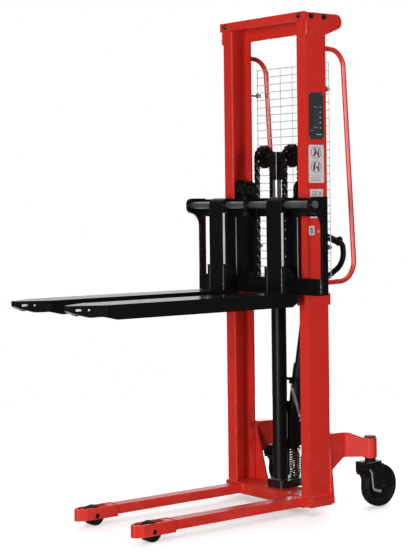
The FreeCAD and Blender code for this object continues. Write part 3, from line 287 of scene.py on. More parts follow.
def column_grease():
    """Smears left by the guide rollers inside the two mast channels, as (centre, size) pairs."""
    spots = []
    for side in SIDES.values():
        for height, tall in WEB_SMEARS:
            spots.append(((side * WEB_SMEAR_X, MAST_FRONT + 0.06, height), (0.017, 0.018, tall)))
        spots.append(((side * FLANGE_SMEAR_X, MAST_REAR - 0.014, 0.30), (0.030, 0.009, 0.22)))
    return spots


MATERIALS = {
    "frame_red": paint("red_paint", RED, RED_SHADE, RED_CHIP, 0.34, shine=0.4),
    "carriage_black": paint("black_paint", BLACK, BLACK_SHADE, BLACK_CHIP, 0.2,
                            coat=0.0, dusty=0.05, shine=0.22),
    "rod_chrome": steel("hard_chrome", (0.30, 0.30, 0.32), (0.16, 0.16, 0.17), 0.28,
                        (300.0, 300.0, 6.0), 0.7),
    "bar_steel": steel("ground_bar", (0.36, 0.36, 0.37), (0.24, 0.24, 0.25), 0.4, (300.0, 14.0, 14.0)),
    "roller_steel": oiled_steel("roller_steel", (0.035, 0.030, 0.028), (0.018, 0.014, 0.013), GREASE),
    "chain_steel": oiled_steel("chain_steel", (0.05, 0.045, 0.042), (0.024, 0.020, 0.018), GREASE),
    "pump_iron": paint("black_casting", BLACK, BLACK_SHADE, (0.05, 0.045, 0.04), 0.4, 0.0, 0.9, 0.12),
    "zinc": steel("zinc_plate", (0.62, 0.61, 0.58), (0.42, 0.40, 0.36), 0.3, (40.0, 40.0, 40.0)),
    "wheel_nylon": moulded("black_nylon", (0.0042, 0.0038, 0.0038), (0.0070, 0.0062, 0.0062), 0.6,
                           shine=0.12),
    "grip_rubber": moulded("grip_rubber", (0.006, 0.006, 0.0062), (0.010, 0.010, 0.010), 0.6, 420.0, 0.6,
                           shine=0.14),
    "guard_wire": steel("zinc_wire", (0.66, 0.66, 0.66), (0.50, 0.49, 0.47), 0.35, (60.0, 60.0, 60.0), 0.6),
    "label_film": film("label_film", (0.62, 0.60, 0.61), (0.56, 0.54, 0.55), 0.4),
    "spring_steel": steel("spring_steel", (0.40, 0.38, 0.37), (0.16, 0.14, 0.13), 0.22, (90.0, 90.0, 90.0)),
}
BARREL_PAINT = paint("barrel_paint", BLACK, BLACK_SHADE, BLACK_CHIP, 0.36, 0.0, dusty=0.05, shine=0.16)
FORK_PAINT = paint("fork_paint", BLACK, BLACK_SHADE, BLACK_CHIP, 0.2, 0.0, dusty=0.05, shine=0.2)
LOOP_PAINT = paint("loop_paint", BLACK, BLACK_SHADE, BLACK_CHIP, 0.5, 0.0, dusty=0.05, shine=0.14)
RAIL_PAINT = paint("rail_paint", RED, RED_SHADE, RED_CHIP, 0.34, 0.8, shine=0.4, coat_rough=0.35)
# Weld bead materials; their bright flecks are painted glints.
BLACK_BEAD = weld("black_bead", (0.005, 0.005, 0.005), (0.75, 0.74, 0.72))
RED_BEAD = weld("red_bead", RED, (0.85, 0.36, 0.28))
# A lighter red with glints, painted as the highlight on the free edges of the column flanges.
FLANGE_EDGE_HIGHLIGHT = weld("red_edge_highlight", (0.66, 0.10, 0.07), (0.90, 0.55, 0.50))
SPROCKET_FACE = oiled_steel("sprocket_face", (0.045, 0.018, 0.014), (0.030, 0.012, 0.010), GREASE)
AXLE_STEEL = oiled_steel("axle_steel", (0.10, 0.085, 0.05), (0.05, 0.042, 0.028), GREASE)
COLUMN_PAINT = paint("greased_red_paint", RED, RED_SHADE, RED_CHIP, 0.38, 0.0, grease=column_grease(),
                     shine=0.3)
OLIVE_BOLT = oiled_steel("olive_bolt", (0.16, 0.11, 0.05), (0.08, 0.055, 0.025), (0.03, 0.02, 0.012))
TILLER_SPRING = steel("bright_spring", (0.72, 0.70, 0.68), (0.44, 0.41, 0.38), 0.3, (90.0, 90.0, 90.0))
DARK_BOLT = oiled_steel("blackened_bolt", (0.035, 0.030, 0.026), (0.02, 0.016, 0.014), GREASE)
# Pale and dim steel for the chain pins and fork tip inserts, and for strips painted as highlights and
# reflections on edges and flanks.
PALE_STEEL_AND_HIGHLIGHT = steel("pale_steel_and_highlight", (0.78, 0.77, 0.76), (0.60, 0.59, 0.58), 0.42, (40.0, 40.0, 200.0), 0.25)
DIM_STEEL_AND_HIGHLIGHT = steel("dim_steel_and_highlight", (0.40, 0.39, 0.38), (0.26, 0.25, 0.24), 0.42, (40.0, 40.0, 200.0), 0.3)
PLATE_FILM = film("charcoal_film", (0.036, 0.034, 0.036), (0.028, 0.026, 0.028), 0.36)
MARK_FILM = film("pale_print", (0.46, 0.45, 0.46), (0.38, 0.37, 0.38), 0.4)
INK_FILM = film("dark_print", (0.05, 0.045, 0.06), (0.035, 0.03, 0.045), 0.4)
RED_INK = film("red_print", (0.42, 0.03, 0.05), (0.36, 0.025, 0.04), 0.4)
PINK_FILM = film("faded_red_print", (0.72, 0.24, 0.22), (0.64, 0.19, 0.18), 0.4)
YELLOW_INK = film("yellow_print", (0.62, 0.55, 0.16), (0.55, 0.48, 0.14), 0.4)


def dress_nodes():
    """Gives every carried-over CAD node its material."""
    for part in frame["record"]["subparts"]:
        mesh = NODES[part["node"]].data
        mesh.materials.clear()
        mesh.materials.append(MATERIALS[part["material_slot"]])
    special = {
        "cylinder_barrel": BARREL_PAINT, "tiller_loop": LOOP_PAINT, "tiller_arm": LOOP_PAINT,
        "tiller_bracket": LOOP_PAINT, "pump_plunger": LOOP_PAINT, "guide_axles": AXLE_STEEL,
        "chain_sprockets": SPROCKET_FACE,
    }
    for name in SIDES:
        special[f"mast_column_{name}"] = COLUMN_PAINT
        special[f"handrail_{name}"] = RAIL_PAINT
        special[f"fork_{name}"] = FORK_PAINT
        special[f"caster_fork_{name}"] = LOOP_PAINT
    for node, material in special.items():
        NODES[node].data.materials[0] = material


# ---------------------------------------------------------------- mesh tools

def across(direction):
    """Two unit vectors square to a direction and to each other."""
    helper = X_AXIS if abs(direction.x) < 0.9 else Z_AXIS
    first = direction.cross(helper).normalized()
    return first, direction.cross(first).normalized()


def skin(mesh, loops, closed=False):
    """Joins equal loops of points with faces, and caps the two ends unless they meet."""
    rings = [[mesh.verts.new(point) for point in loop] for loop in loops]
    pairs = list(zip(rings, rings[1:]))
    if closed:
        pairs.append((rings[-1], rings[0]))
    for first, second in pairs:
        for number in range(len(first)):
            after = (number + 1) % len(first)
            mesh.faces.new((first[number], first[after], second[after], second[number]))
    if not closed:
        mesh.faces.new(rings[0][::-1])
        mesh.faces.new(rings[-1])


def circle(centre, first, second, radius, sides, start=0.0):
    """Points round a circle in the plane of two directions."""
    turns = [2 * math.pi * number / sides + start for number in range(sides)]
    return [centre + radius * (math.cos(turn) * first + math.sin(turn) * second) for turn in turns]


def lathe(mesh, profile, centre, axis=X_AXIS, sides=40, start=0.0):
    """A turned shape. The profile holds (place along the axis, radius) pairs."""
    first, second = across(axis)
    loops = [circle(centre + axis * along, first, second, radius, sides, start)
             for along, radius in profile]
    skin(mesh, loops)


def tube(mesh, path, radii, sides=8, closed=False):
    """A round bar along a path, with one radius or a radius for each point."""
    if not isinstance(radii, list):
        radii = [radii] * len(path)
    loops = []
    first = None
    for number, point in enumerate(path):
        before = path[number - 1] if number or closed else point
        after = path[(number + 1) % len(path)] if closed or number + 1 < len(path) else point
        along = (after - before).normalized()
        if first is None:
            first = across(along)[0]
        first = (first - along * first.dot(along)).normalized()
        loops.append(circle(point, first, along.cross(first), radii[number], sides))
    skin(mesh, loops, closed)


def slab(mesh, outline, depth):
    """A flat outline of points pushed along a vector."""
    skin(mesh, [outline, [point + depth for point in outline]])


def brick(mesh, low, high):
    """A box between two corners."""
    low, high = Vector(low), Vector(high)
    corners = [(low.x, low.y), (high.x, low.y), (high.x, high.y), (low.x, high.y)]
    slab(mesh, [Vector((x, y, low.z)) for x, y in corners], Z_AXIS * (high.z - low.z))


def piece(name, mesh, slot, body=None, material=None, replaces=()):
    """Turns finished mesh data into a named piece that rides on a body."""
    bmesh.ops.recalc_face_normals(mesh, faces=mesh.faces)
    data = bpy.data.meshes.new(name)
    mesh.to_mesh(data)
    mesh.free()
    data.shade_smooth()
    data.set_sharp_from_angle(angle=math.radians(38))
    data.materials.append(material or MATERIALS[slot])
    item = bpy.data.objects.new(name, data)
    bpy.context.collection.objects.link(item)
    if replaces:
        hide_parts(*replaces)
    if body:
        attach(item, body)
    return item


# ---------------------------------------------------------------- chains

PITCH = 0.01905
SPROCKET = middle("chain_sprockets")
SPROCKET_TEETH = 14
WRAP_RADIUS = PITCH / (2 * math.sin(math.pi / SPROCKET_TEETH))
CHAIN_X = 0.09
PLATE_HALF = 0.0086
PLATE_WAIST = 0.0062
PLATE_THICK = 0.002
INNER_PLATE = 0.0062
OUTER_PLATE = 0.0084
ROLLER_OUTLINE = [(-0.0050, 0.0058), (0.0050, 0.0058)]
PIN_OUTLINE = [(-0.0118, 0.0012), (-0.0108, 0.0028), (0.0108, 0.0028), (0.0118, 0.0012)]


def link_outline(start, end):
    """The figure-of-eight outline of a link plate between two joints."""
    along = (end - start).normalized()
    beside = X_AXIS.cross(along)
    points = []
    for centre, first_turn in ((start, 60), (end, 240)):
        for step in range(9):
            turn = math.radians(first_turn + 30 * step)
            points.append(centre + PLATE_HALF * (math.cos(turn) * along + math.sin(turn) * beside))
        waist = -beside if centre is start else beside
        points.append((start + end) / 2 + waist * PLATE_WAIST)
    return points


def chain(mesh, joints, pins, x):
    """A roller chain through its joints. Every second pin goes into a mesh of its own."""
    for number, (start, end) in enumerate(zip(joints, joints[1:])):
        offset = INNER_PLATE if number % 2 else OUTER_PLATE
        for side in SIDES.values():
            shift = X_AXIS * (x + side * offset)
            outline = [point + shift for point in link_outline(start, end)]
            slab(mesh, outline, X_AXIS * side * PLATE_THICK)
    for number, joint in enumerate(joints):
        centre = joint + X_AXIS * x
        lathe(mesh, ROLLER_OUTLINE, centre, sides=12)
        target = pins if number % 2 else mesh
        lathe(target, PIN_OUTLINE, centre, sides=10)


def straight_joints(y, low):
    """Joints of a straight run from the sprocket's height down to its anchor."""
    count = round((SPROCKET.z - low) / PITCH)
    step = (SPROCKET.z - low) / count
    return [Vector((0, y, SPROCKET.z - step * number)) for number in range(count + 1)]


def wrap_joints():
    """Joints over the top of a sprocket, from its front to its back."""
    half = SPROCKET_TEETH // 2
    turns = [math.pi * (1 - number / half) for number in range(half + 1)]
    return [Vector((0, SPROCKET.y + WRAP_RADIUS * math.cos(turn),
                    SPROCKET.z + WRAP_RADIUS * math.sin(turn))) for turn in turns]


def chain_set(label, joints, node, bodies=None):
    """The left and right chain of one run: baked in place on no body when bodies are given, or riding on
    the lift rod.
    """
    links, pins = bmesh.new(), bmesh.new()
    for side in SIDES.values():
        chain(links, joints, pins, side * CHAIN_X)
    body = None if bodies else "lift_rod"
    made = [
        piece(f"{label}_links", links, "chain_steel", body, replaces=(node,)),
        piece(f"{label}_pins", pins, "chain_steel", body, DIM_STEEL_AND_HIGHLIGHT if body else PALE_STEEL_AND_HIGHLIGHT),
    ]
    if bodies:
        for item in made:
            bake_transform(item)


def chains():
    """Both straight runs and the part over the sprockets."""
    front_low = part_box("chains_front")[0].z
    rear_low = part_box("chains_rear")[0].z
    front = straight_joints(SPROCKET.y - WRAP_RADIUS, front_low)
    rear = straight_joints(SPROCKET.y + WRAP_RADIUS, rear_low)
    chain_set("front_chain", front, "chains_front", ("lift_rod", "carriage"))
    chain_set("rear_chain", rear, "chains_rear", ("lift_rod", "mast_frame"))
    chain_set("wrapped_chain", wrap_joints(), "chain_wraps")


CROSSHEAD_HALF = 0.020
# Width of the highlight painted on the crosshead's front edge.
HIGHLIGHT_WIDTH = 0.0032
CHEEK_PROFILE = [
    (0.0052, 0.0280), (0.0056, 0.0285), (0.0056, 0.0395), (0.0060, 0.0405), (0.0060, 0.0468),
    (0.0056, 0.0475), (0.0052, 0.0475),
]


def sprocket_cheeks():
    """A smooth disc with a raised rim on both faces of each sprocket."""
    mesh = bmesh.new()
    for side in SIDES.values():
        centre = Vector((side * CHAIN_X, SPROCKET.y, SPROCKET.z))
        for way in SIDES.values():
            lathe(mesh, CHEEK_PROFILE, centre, X_AXIS * way, 64)
    piece("sprocket_cheeks", mesh, "roller_steel", "sprockets", SPROCKET_FACE)


def crosshead_highlight():
    """A pale strip painted as the highlight on the front edge of the block that carries the sprockets."""
    low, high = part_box("crosshead")
    mesh = bmesh.new()
    brick(mesh, (CROSSHEAD_HALF - HIGHLIGHT_WIDTH, low.y - PROUD, low.z + 0.004),
          (CROSSHEAD_HALF, low.y + PROUD, high.z - 0.001))
    piece("crosshead_highlight", mesh, "roller_steel", "lift_rod", PALE_STEEL_AND_HIGHLIGHT)


# ---------------------------------------------------------------- springs and wire

def coil_path(start, end, radius, turns, steps=14):
    """A helix between two points, its pitch eased slightly along its length."""
    along = (end - start).normalized()
    first, second = across(along)
    count = turns * steps
    path = []
    for number in range(count + 1):
        share = number / count
        eased = share + 0.010 * math.sin(2 * math.pi * share)
        turn = 2 * math.pi * number / steps
        centre = start.lerp(end, min(max(eased, 0.0), 1.0))
        path.append(centre + radius * (math.cos(turn) * first + math.sin(turn) * second))
    return path


def pump_spring():
    """The round wire of the return spring on the pump's plunger."""
    low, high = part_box("pump_spring")
    wire = 0.0026
    foot = Vector((0, (low.y + high.y) / 2, low.z + wire))
    head = Vector((0, foot.y, high.z - wire))
    mesh = bmesh.new()
    tube(mesh, coil_path(foot, head, (high.x - low.x) / 2 - wire, 11, 24), wire)
    item = piece("pump_return_spring", mesh, "spring_steel", replaces=("pump_spring",))
    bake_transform(item)


def tiller_spring():
    """A close-wound extension spring with a straight tail and an eye at both ends."""
    low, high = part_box("tiller_spring")
    radius = 0.0052
    tail = 0.0013
    x = (low.x + high.x) / 2
    top = Vector((x, low.y + radius, high.z - 0.004))
    foot = Vector((x, high.y - radius, low.z + 0.004))
    along = (foot - top).normalized()
    mesh = bmesh.new()
    tube(mesh, coil_path(top + along * 0.016, foot - along * 0.016, radius, 58, 10), 0.00115, 6)
    for end, way in ((top, 1), (foot, -1)):
        tube(mesh, [end + along * way * 0.019, end + along * way * 0.008, end], tail, 6)
        eye = circle(end, along, X_AXIS, 0.0058, 14)
        tube(mesh, eye, tail, 6, closed=True)
    item = piece("tiller_return_spring", mesh, "spring_steel", None, TILLER_SPRING, ("tiller_spring",))
    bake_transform(item)


GUARD_COLUMNS = 7
GUARD_ROWS = 28
NUGGET_OUTLINE = [(-0.0018, 0.0008), (0, 0.0024), (0.0018, 0.0008)]


def spread(low, high, count):
    """Evenly spaced places from low to high, both ends included."""
    return [low + (high - low) * number / (count - 1) for number in range(count)]


def wire_guard():
    """The screen of round wires with a small weld nugget where two of them cross."""
    low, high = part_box("mesh_guard")
    radius = 0.0016
    y = (low.y + high.y) / 2
    mesh = bmesh.new()
    uprights = spread(low.x + radius, high.x - radius, GUARD_COLUMNS)
    rows = spread(low.z + radius, high.z - radius, GUARD_ROWS)
    for x in uprights:
        sway = CHANCE.uniform(-0.0007, 0.0007)
        tube(mesh, [Vector((x, y + radius, low.z)), Vector((x + sway, y + radius, (low.z + high.z) / 2)),
                    Vector((x, y + radius, high.z))], radius)
    for z in rows:
        sag = CHANCE.uniform(-0.0008, 0.0004)
        tube(mesh, [Vector((low.x, y - radius, z)), Vector((0, y - radius, z + sag)),
                    Vector((high.x, y - radius, z))], radius)
        for x in uprights:
            lathe(mesh, NUGGET_OUTLINE, Vector((x, y, z)), Y_AXIS, 6)
    piece("wire_guard", mesh, "guard_wire", "mast_frame", replaces=("mesh_guard",))


# ---------------------------------------------------------------- wheels and rollers

TYRE_PROFILE = [
    (0.0236, 0.0085), (0.0236, 0.0255), (0.0226, 0.0280), (0.0170, 0.0300), (0.0150, 0.0345),
    (0.0150, 0.0600), (0.0165, 0.0655), (0.0215, 0.0680), (0.0230, 0.0705), (0.0230, 0.0770),
    (0.0215, 0.0830), (0.0180, 0.0872), (0.0110, 0.0895), (0.0008, 0.0900),
]
ROLLER_PROFILE = [
    (0.0205, 0.0101), (0.0205, 0.0150), (0.0195, 0.0160), (0.0195, 0.0230), (0.0215, 0.0245),
    (0.0220, 0.0370), (0.0212, 0.0392), (0.0190, 0.0400),
]
GUIDE_HALF = 0.0180
GUIDE_PROFILE = [
    (0.0180, 0.01255), (0.0180, 0.0200), (0.0165, 0.0210), (0.0165, 0.0330), (0.0180, 0.0340),
    (0.0180, 0.0440), (0.0172, 0.0462), (0.0150, 0.0470),
]


def mirrored(profile):
    """A whole turned outline from the half on one side of its middle."""
    return [(-along, radius) for along, radius in profile] + profile[::-1]


def turned(mesh, profile, centre, sides=64):
    """A turned wheel with an open bore through it."""
    first, second = across(X_AXIS)
    loops = [circle(centre + X_AXIS * along, first, second, radius, sides)
             for along, radius in mirrored(profile)]
    skin(mesh, loops, closed=True)


def hex_head(mesh, base, axis, radius, height, start=0.0):
    """A washer and a chamfered hexagon head that stand on a surface."""
    washer = [(0.0, radius * 1.22), (0.0014, radius * 1.22), (0.0016, radius * 1.1)]
    lathe(mesh, washer, base, axis, 24)
    head = [(0.0014, radius * 0.96), (0.0022, radius), (height - 0.0012, radius), (height, radius * 0.84)]
    lathe(mesh, head, base, axis, 6, start)


CASTER_LEG_FACE = 0.0330
EDGE_SUNK = 0.0001
LEG_BAND = [
    (-0.082, 0.168), (-0.070, 0.150), (-0.065, 0.092), (-0.060, 0.082), (-0.043, 0.075), (-0.017, 0.069),
]
LEG_BAND_WIDTHS = [0.006, 0.009, 0.009, 0.010, 0.011, 0.012]
LEG_LIP = [(-0.098, 0.1955), (-0.050, 0.1955)]


def band(mesh, path, widths, depth):
    """A flat strip along a path on a face square to X."""
    near, far = [], []
    for number, point in enumerate(path):
        before = path[max(number - 1, 0)]
        after = path[min(number + 1, len(path) - 1)]
        beside = X_AXIS.cross((after - before).normalized()) * widths[number] / 2
        near.append(point + beside)
        far.append(point - beside)
    slab(mesh, near + far[::-1], depth)


def caster(name):
    """The tyre, the axle nuts, and pale strips painted as highlights along the leg edges of one caster."""
    centre = middle(f"caster_wheel_{name}")
    wheel = bmesh.new()
    turned(wheel, TYRE_PROFILE, centre, 80)
    piece(f"caster_tyre_{name}", wheel, "wheel_nylon", f"caster_wheel_{name}",
          replaces=(f"caster_wheel_{name}",))
    nuts = bmesh.new()
    for way in SIDES.values():
        face = centre + X_AXIS * way * CASTER_LEG_FACE
        hex_head(nuts, face, X_AXIS * way, 0.0125, 0.0085)
    piece(f"caster_nuts_{name}", nuts, "carriage_black", f"caster_swivel_{name}", DARK_BOLT)
    # Pale strips painted as highlights along the front edge and the lip of each fork leg.
    edges = bmesh.new()
    for way in SIDES.values():
        face = Vector((centre.x + way * (CASTER_LEG_FACE - EDGE_SUNK), centre.y, 0))
        path = [face + Vector((0, back, height)) for back, height in LEG_BAND]
        band(edges, path, LEG_BAND_WIDTHS, X_AXIS * way * 0.0005)
        lip = [face + Vector((0, back, height)) for back, height in LEG_LIP]
        tube(edges, lip, 0.0010, 6)
    piece(f"caster_leg_highlights_{name}", edges, "carriage_black", f"caster_swivel_{name}", DIM_STEEL_AND_HIGHLIGHT)


def load_rollers():
    """The small wheel at the front of each straddle leg."""
    for name in SIDES:
        node = f"load_roller_{name}"
        mesh = bmesh.new()
        turned(mesh, ROLLER_PROFILE, middle(node))
        piece(f"load_wheel_{name}", mesh, "wheel_nylon", node, replaces=(node,))


def guide_rollers():
    """The carriage's rollers that run inside the mast channels."""
    for level in ("upper", "lower"):
        node = f"{level}_guide_rollers"
        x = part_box(node)[1].x - GUIDE_HALF
        centre = middle(node)
        mesh = bmesh.new()
        for side in SIDES.values():
            turned(mesh, GUIDE_PROFILE, Vector((side * x, centre.y, centre.z)))
        piece(f"{level}_rollers", mesh, "roller_steel", node, replaces=(node,))


# ---------------------------------------------------------------- bolts, welds and edges

BOLT_RADIUS = 0.0095
BOLT_HEIGHT = 0.007
FRONT_BOLT_X = 0.241
SIDE_BOLT_DEPTHS = (0.025, 0.097)


def head_bolts():
    """The hexagon heads on the front and the sides of the mast's head plates."""
    low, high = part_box("mast_head_bolts")
    mesh, front = bmesh.new(), bmesh.new()
    z = high.z - BOLT_RADIUS
    for side in SIDES.values():
        base = Vector((side * FRONT_BOLT_X, low.y + BOLT_HEIGHT, z))
        hex_head(front, base, -Y_AXIS, BOLT_RADIUS, BOLT_HEIGHT)
        for depth in SIDE_BOLT_DEPTHS:
            base = Vector((side * (high.x - BOLT_HEIGHT), MAST_FRONT + depth, z - 0.002))
            hex_head(mesh, base, X_AXIS * side, BOLT_RADIUS, BOLT_HEIGHT, 0.3)
    piece("head_side_bolts", mesh, "zinc", "mast_frame", DARK_BOLT, ("mast_head_bolts",))
    piece("head_front_bolts", front, "zinc", "mast_frame", OLIVE_BOLT)


HEAVY_BEAD = 0.0030
WIDE_BEAD = 0.0028
PLAIN_BEAD = 0.0026
SLIM_BEAD = 0.0024
FINE_BEAD = 0.0022
RAIL_BEAD = 0.0021


def bead(mesh, start, end, radius):
    """A rippled weld bead between two points."""
    start, end = Vector(start), Vector(end)
    count = max(int((end - start).length / 0.0016), 3)
    path = [start.lerp(end, number / count) for number in range(count + 1)]
    swell = [radius * (0.86 + 0.2 * abs(math.sin(number * 0.9)) + CHANCE.uniform(-0.05, 0.05))
             for number in range(count + 1)]
    tube(mesh, path, swell, 8)


HEAD_PLATE_THICK = 0.008
LEG_SLEEVE_REACH = 0.663
# Top of the painted highlight on the column flange edges.
EDGE_HIGHLIGHT_TOP = 2.04
RAIL_RADIUS = 0.011
ARM_FOLD = 0.05


def weld_ring(mesh, ring, radius):
    """An uneven bead that follows a closed ring of points."""
    swell = [radius * (0.85 + CHANCE.uniform(0, 0.3)) for _ in ring]
    tube(mesh, ring, swell, 6, closed=True)


def mast_welds():
    """Beads round the head plates, the column feet and the straddle legs."""
    mesh = bmesh.new()
    head_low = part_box("mast_head")[0].z
    foot = COLUMN_LOW.z
    leg_low, leg_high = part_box("straddle_leg_left")
    sleeve = MAST_FRONT - LEG_SLEEVE_REACH
    for side in SIDES.values():
        outer, inner = side * MAST_OUTER, side * MAST_INNER
        edge = (outer + side * HEAD_PLATE_THICK, MAST_FRONT)
        bead(mesh, (*edge, head_low + 0.002), (*edge, COLUMN_HIGH.z - 0.036), WIDE_BEAD)
        bead(mesh, (outer, MAST_FRONT + 0.002, head_low), (outer, MAST_REAR - 0.008, head_low), PLAIN_BEAD)
        bead(mesh, (inner, MAST_FRONT, foot), (outer, MAST_FRONT, foot), WIDE_BEAD)
        bead(mesh, (outer, MAST_FRONT, foot), (outer, MAST_REAR, foot), HEAVY_BEAD)
        bead(mesh, (outer, MAST_REAR, foot + 0.002), (outer, MAST_REAR, foot + 0.19), FINE_BEAD)
        for x in (leg_low.x + 0.004, leg_high.x - 0.004):
            upright = (side * x, MAST_FRONT)
            bead(mesh, (*upright, leg_low.z + 0.01), (*upright, leg_low.z + 0.045), PLAIN_BEAD)
            bead(mesh, (side * x, sleeve, 0.036), (side * x, sleeve, 0.073), FINE_BEAD)
        bead(mesh, (side * leg_low.x, sleeve, 0.0725), (side * leg_high.x, sleeve, 0.0725), FINE_BEAD)
    piece("mast_weld_beads", mesh, "frame_red", "mast_frame", RED_BEAD)


def column_edges():
    """A lighter red strip with glints, painted as the highlight along the free edge of each mast column's
    front flange.
    """
    mesh = bmesh.new()
    for side in SIDES.values():
        x = side * MAST_INNER
        brick(mesh, (x - 2 * PROUD, MAST_FRONT + 0.0010, COLUMN_LOW.z + 0.02),
              (x + 2 * PROUD, MAST_FRONT + 0.0036, EDGE_HIGHLIGHT_TOP))
    piece("column_edge_highlights", mesh, "frame_red", "mast_frame", FLANGE_EDGE_HIGHLIGHT)


def crossbeam_fold():
    """The upright fold on top of the rear crossbeam, up to the head plate."""
    low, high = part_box("rear_crossbeam")
    mesh = bmesh.new()
    brick(mesh, (low.x, high.y - 0.004, high.z - 0.002), (high.x, high.y, COLUMN_HIGH.z))
    piece("rear_crossbeam_fold", mesh, "frame_red", "mast_frame")


def arm_welds():
    """Beads where the caster arms and the handrails meet the mast."""
    mesh = bmesh.new()
    for name, side in SIDES.items():
        low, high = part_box(f"caster_arm_{name}")
        inner = min(abs(low.x), abs(high.x))
        y = low.y
        for x in (inner, inner + ARM_FOLD):
            bead(mesh, (side * x, y, low.z + 0.002), (side * x, y, high.z - 0.002), PLAIN_BEAD)
        top = high.z - 0.001
        bead(mesh, (side * inner, y, top), (side * (inner + ARM_FOLD), y, top), PLAIN_BEAD)
        rail = f"handrail_{name}"
        rail_low, rail_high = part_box(rail)
        for z in (rail_low.z + RAIL_RADIUS, rail_high.z - RAIL_RADIUS):
            centre = Vector((middle(rail).x, MAST_REAR + 0.001, z))
            weld_ring(mesh, circle(centre, X_AXIS, Z_AXIS, RAIL_RADIUS + PROUD, 28), RAIL_BEAD)
    piece("arm_weld_beads", mesh, "frame_red", "mast_frame", RED_BEAD)


FORK_TOP = 0.923
FORK_EYE_LOW = 1.252
SHANK_HALF = 0.046
HEEL_HALF = 0.062
GUSSET_DEPTH = 0.062


def fork_shank(name):
    """Weld beads of one fork's upright shank, glints painted on the +X corner bead, and pale strips painted
    on its flanks as the reflection of the bright backdrop.
    """
    body = f"fork_{name}"
    low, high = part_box(body)
    x = (low.x + high.x) / 2
    front = high.y - GUSSET_DEPTH
    flank_low = FORK_TOP + 0.110
    beads, glinting, flanks = bmesh.new(), bmesh.new(), bmesh.new()
    for way in SIDES.values():
        shank = x + way * SHANK_HALF
        # The +X corner bead takes the bead material with painted glints.
        corner = glinting if way > 0 else beads
        bead(corner, (shank, front, FORK_TOP), (shank, front, FORK_TOP + 0.105), SLIM_BEAD)
        heel = x + way * HEEL_HALF
        bead(beads, (heel, front, FORK_TOP), (heel, high.y - 0.033, FORK_TOP), PLAIN_BEAD)
        bead(beads, (shank, front + 0.019, flank_low - 0.004), (shank, front + 0.021, flank_low), FINE_BEAD)
        # Pale strips painted on the flanks as the reflection of the bright backdrop.
        brick(flanks, (shank - PROUD, front + 0.0012, flank_low),
              (shank + PROUD, front + 0.0120, FORK_EYE_LOW))
    bead(beads, (x - HEEL_HALF, front, FORK_TOP), (x + HEEL_HALF, front, FORK_TOP), PLAIN_BEAD)
    piece(f"fork_welds_{name}", beads, "carriage_black", body)
    piece(f"fork_glinting_welds_{name}", glinting, "carriage_black", body, BLACK_BEAD)
    piece(f"fork_flank_reflections_{name}", flanks, "carriage_black", body, PALE_STEEL_AND_HIGHLIGHT)


def fork_tip(name):
    """The bright block and cross pin in one fork's tip."""
    body = f"fork_{name}"
    x = middle(body).x
    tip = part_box(body)[0].y
    inserts = bmesh.new()
    brick(inserts, (x - 0.0305, tip + 0.0245, FORK_TOP - 0.0208),
          (x + 0.0305, tip + 0.0455, FORK_TOP - 0.0122))
    pin = Vector((x, tip + 0.068, FORK_TOP - 0.017))
    lathe(inserts, [(-0.0485, 0.0043), (0.0485, 0.0043)], pin, sides=16)
    piece(f"fork_tip_inserts_{name}", inserts, "carriage_black", body, PALE_STEEL_AND_HIGHLIGHT)


UPPER_BAR_FOOT = 1.236


def carriage_details():
    """Weld beads of the carriage with painted glints, and pale strips painted as highlights on the edges of
    its uprights.
    """
    beads = bmesh.new()
    flanks = bmesh.new()
    lower_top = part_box("carriage_lower_bar")[1].z
    upper_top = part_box("carriage_upper_bar")[1].z
    for name, side in SIDES.items():
        plate_low, plate_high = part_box(f"carriage_side_plate_{name}")
        x = plate_low.x if side > 0 else plate_high.x
        spans = ((plate_low.z + 0.002, lower_top - 0.002), (UPPER_BAR_FOOT + 0.001, upper_top - 0.005))
        for start, end in spans:
            bead(beads, (x, MAST_FRONT - 0.0425, start), (x, MAST_FRONT - 0.0425, end), PLAIN_BEAD)
        flat_low, flat_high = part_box(f"carriage_upright_{name}")
        for edge in (flat_low.x, flat_high.x):
            for z in (lower_top, UPPER_BAR_FOOT):
                bead(beads, (edge, MAST_FRONT - 0.028, z), (edge, MAST_FRONT - 0.014, z), SLIM_BEAD)
            # Pale strips painted as highlights on the upright edges.
            brick(flanks, (edge - PROUD, MAST_FRONT - 0.0265, lower_top + 0.002),
                  (edge + PROUD, MAST_FRONT - 0.0215, UPPER_BAR_FOOT - 0.004))
    piece("carriage_welds", beads, "carriage_black", "carriage", BLACK_BEAD)
    piece("carriage_flank_highlights", flanks, "carriage_black", "carriage", DIM_STEEL_AND_HIGHLIGHT)


def barrel_welds():
    """Beads round the foot and the top of the lift cylinder's barrel."""
    mesh = bmesh.new()
    low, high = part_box("cylinder_barrel")
    centre = (low + high) / 2
    around = (high.x - low.x) / 2 + 2 * PROUD
    for z, radius in ((low.z + 0.002, HEAVY_BEAD), (high.z - 0.001, FINE_BEAD)):
        weld_ring(mesh, circle(Vector((centre.x, centre.y, z)), X_AXIS, Y_AXIS, around, 48), radius)
    piece("barrel_welds", mesh, "carriage_black", "mast_frame", BLACK_BEAD)


FLANGE_PROFILE = [(0.0, 0.0152), (0.001, 0.0205), (0.004, 0.0212), (0.0065, 0.0195), (0.0075, 0.0152)]
GRIP_FALL = 0.29


def grip_flanges():
    """The collar at the outer end of each grip."""
    low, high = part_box("hand_grips")
    mesh = bmesh.new()
    slope = Vector((1, 0, -GRIP_FALL)).normalized()
    for side in SIDES.values():
        axis = Vector((side * slope.x, 0, slope.z))
        centre = Vector((side * (high.x - 0.0145), high.y - 0.0195, low.z + 0.0215))
        lathe(mesh, FLANGE_PROFILE, centre, axis, 32)
    piece("grip_flanges", mesh, "grip_rubber", "tiller")


# ---------------------------------------------------------------- labels

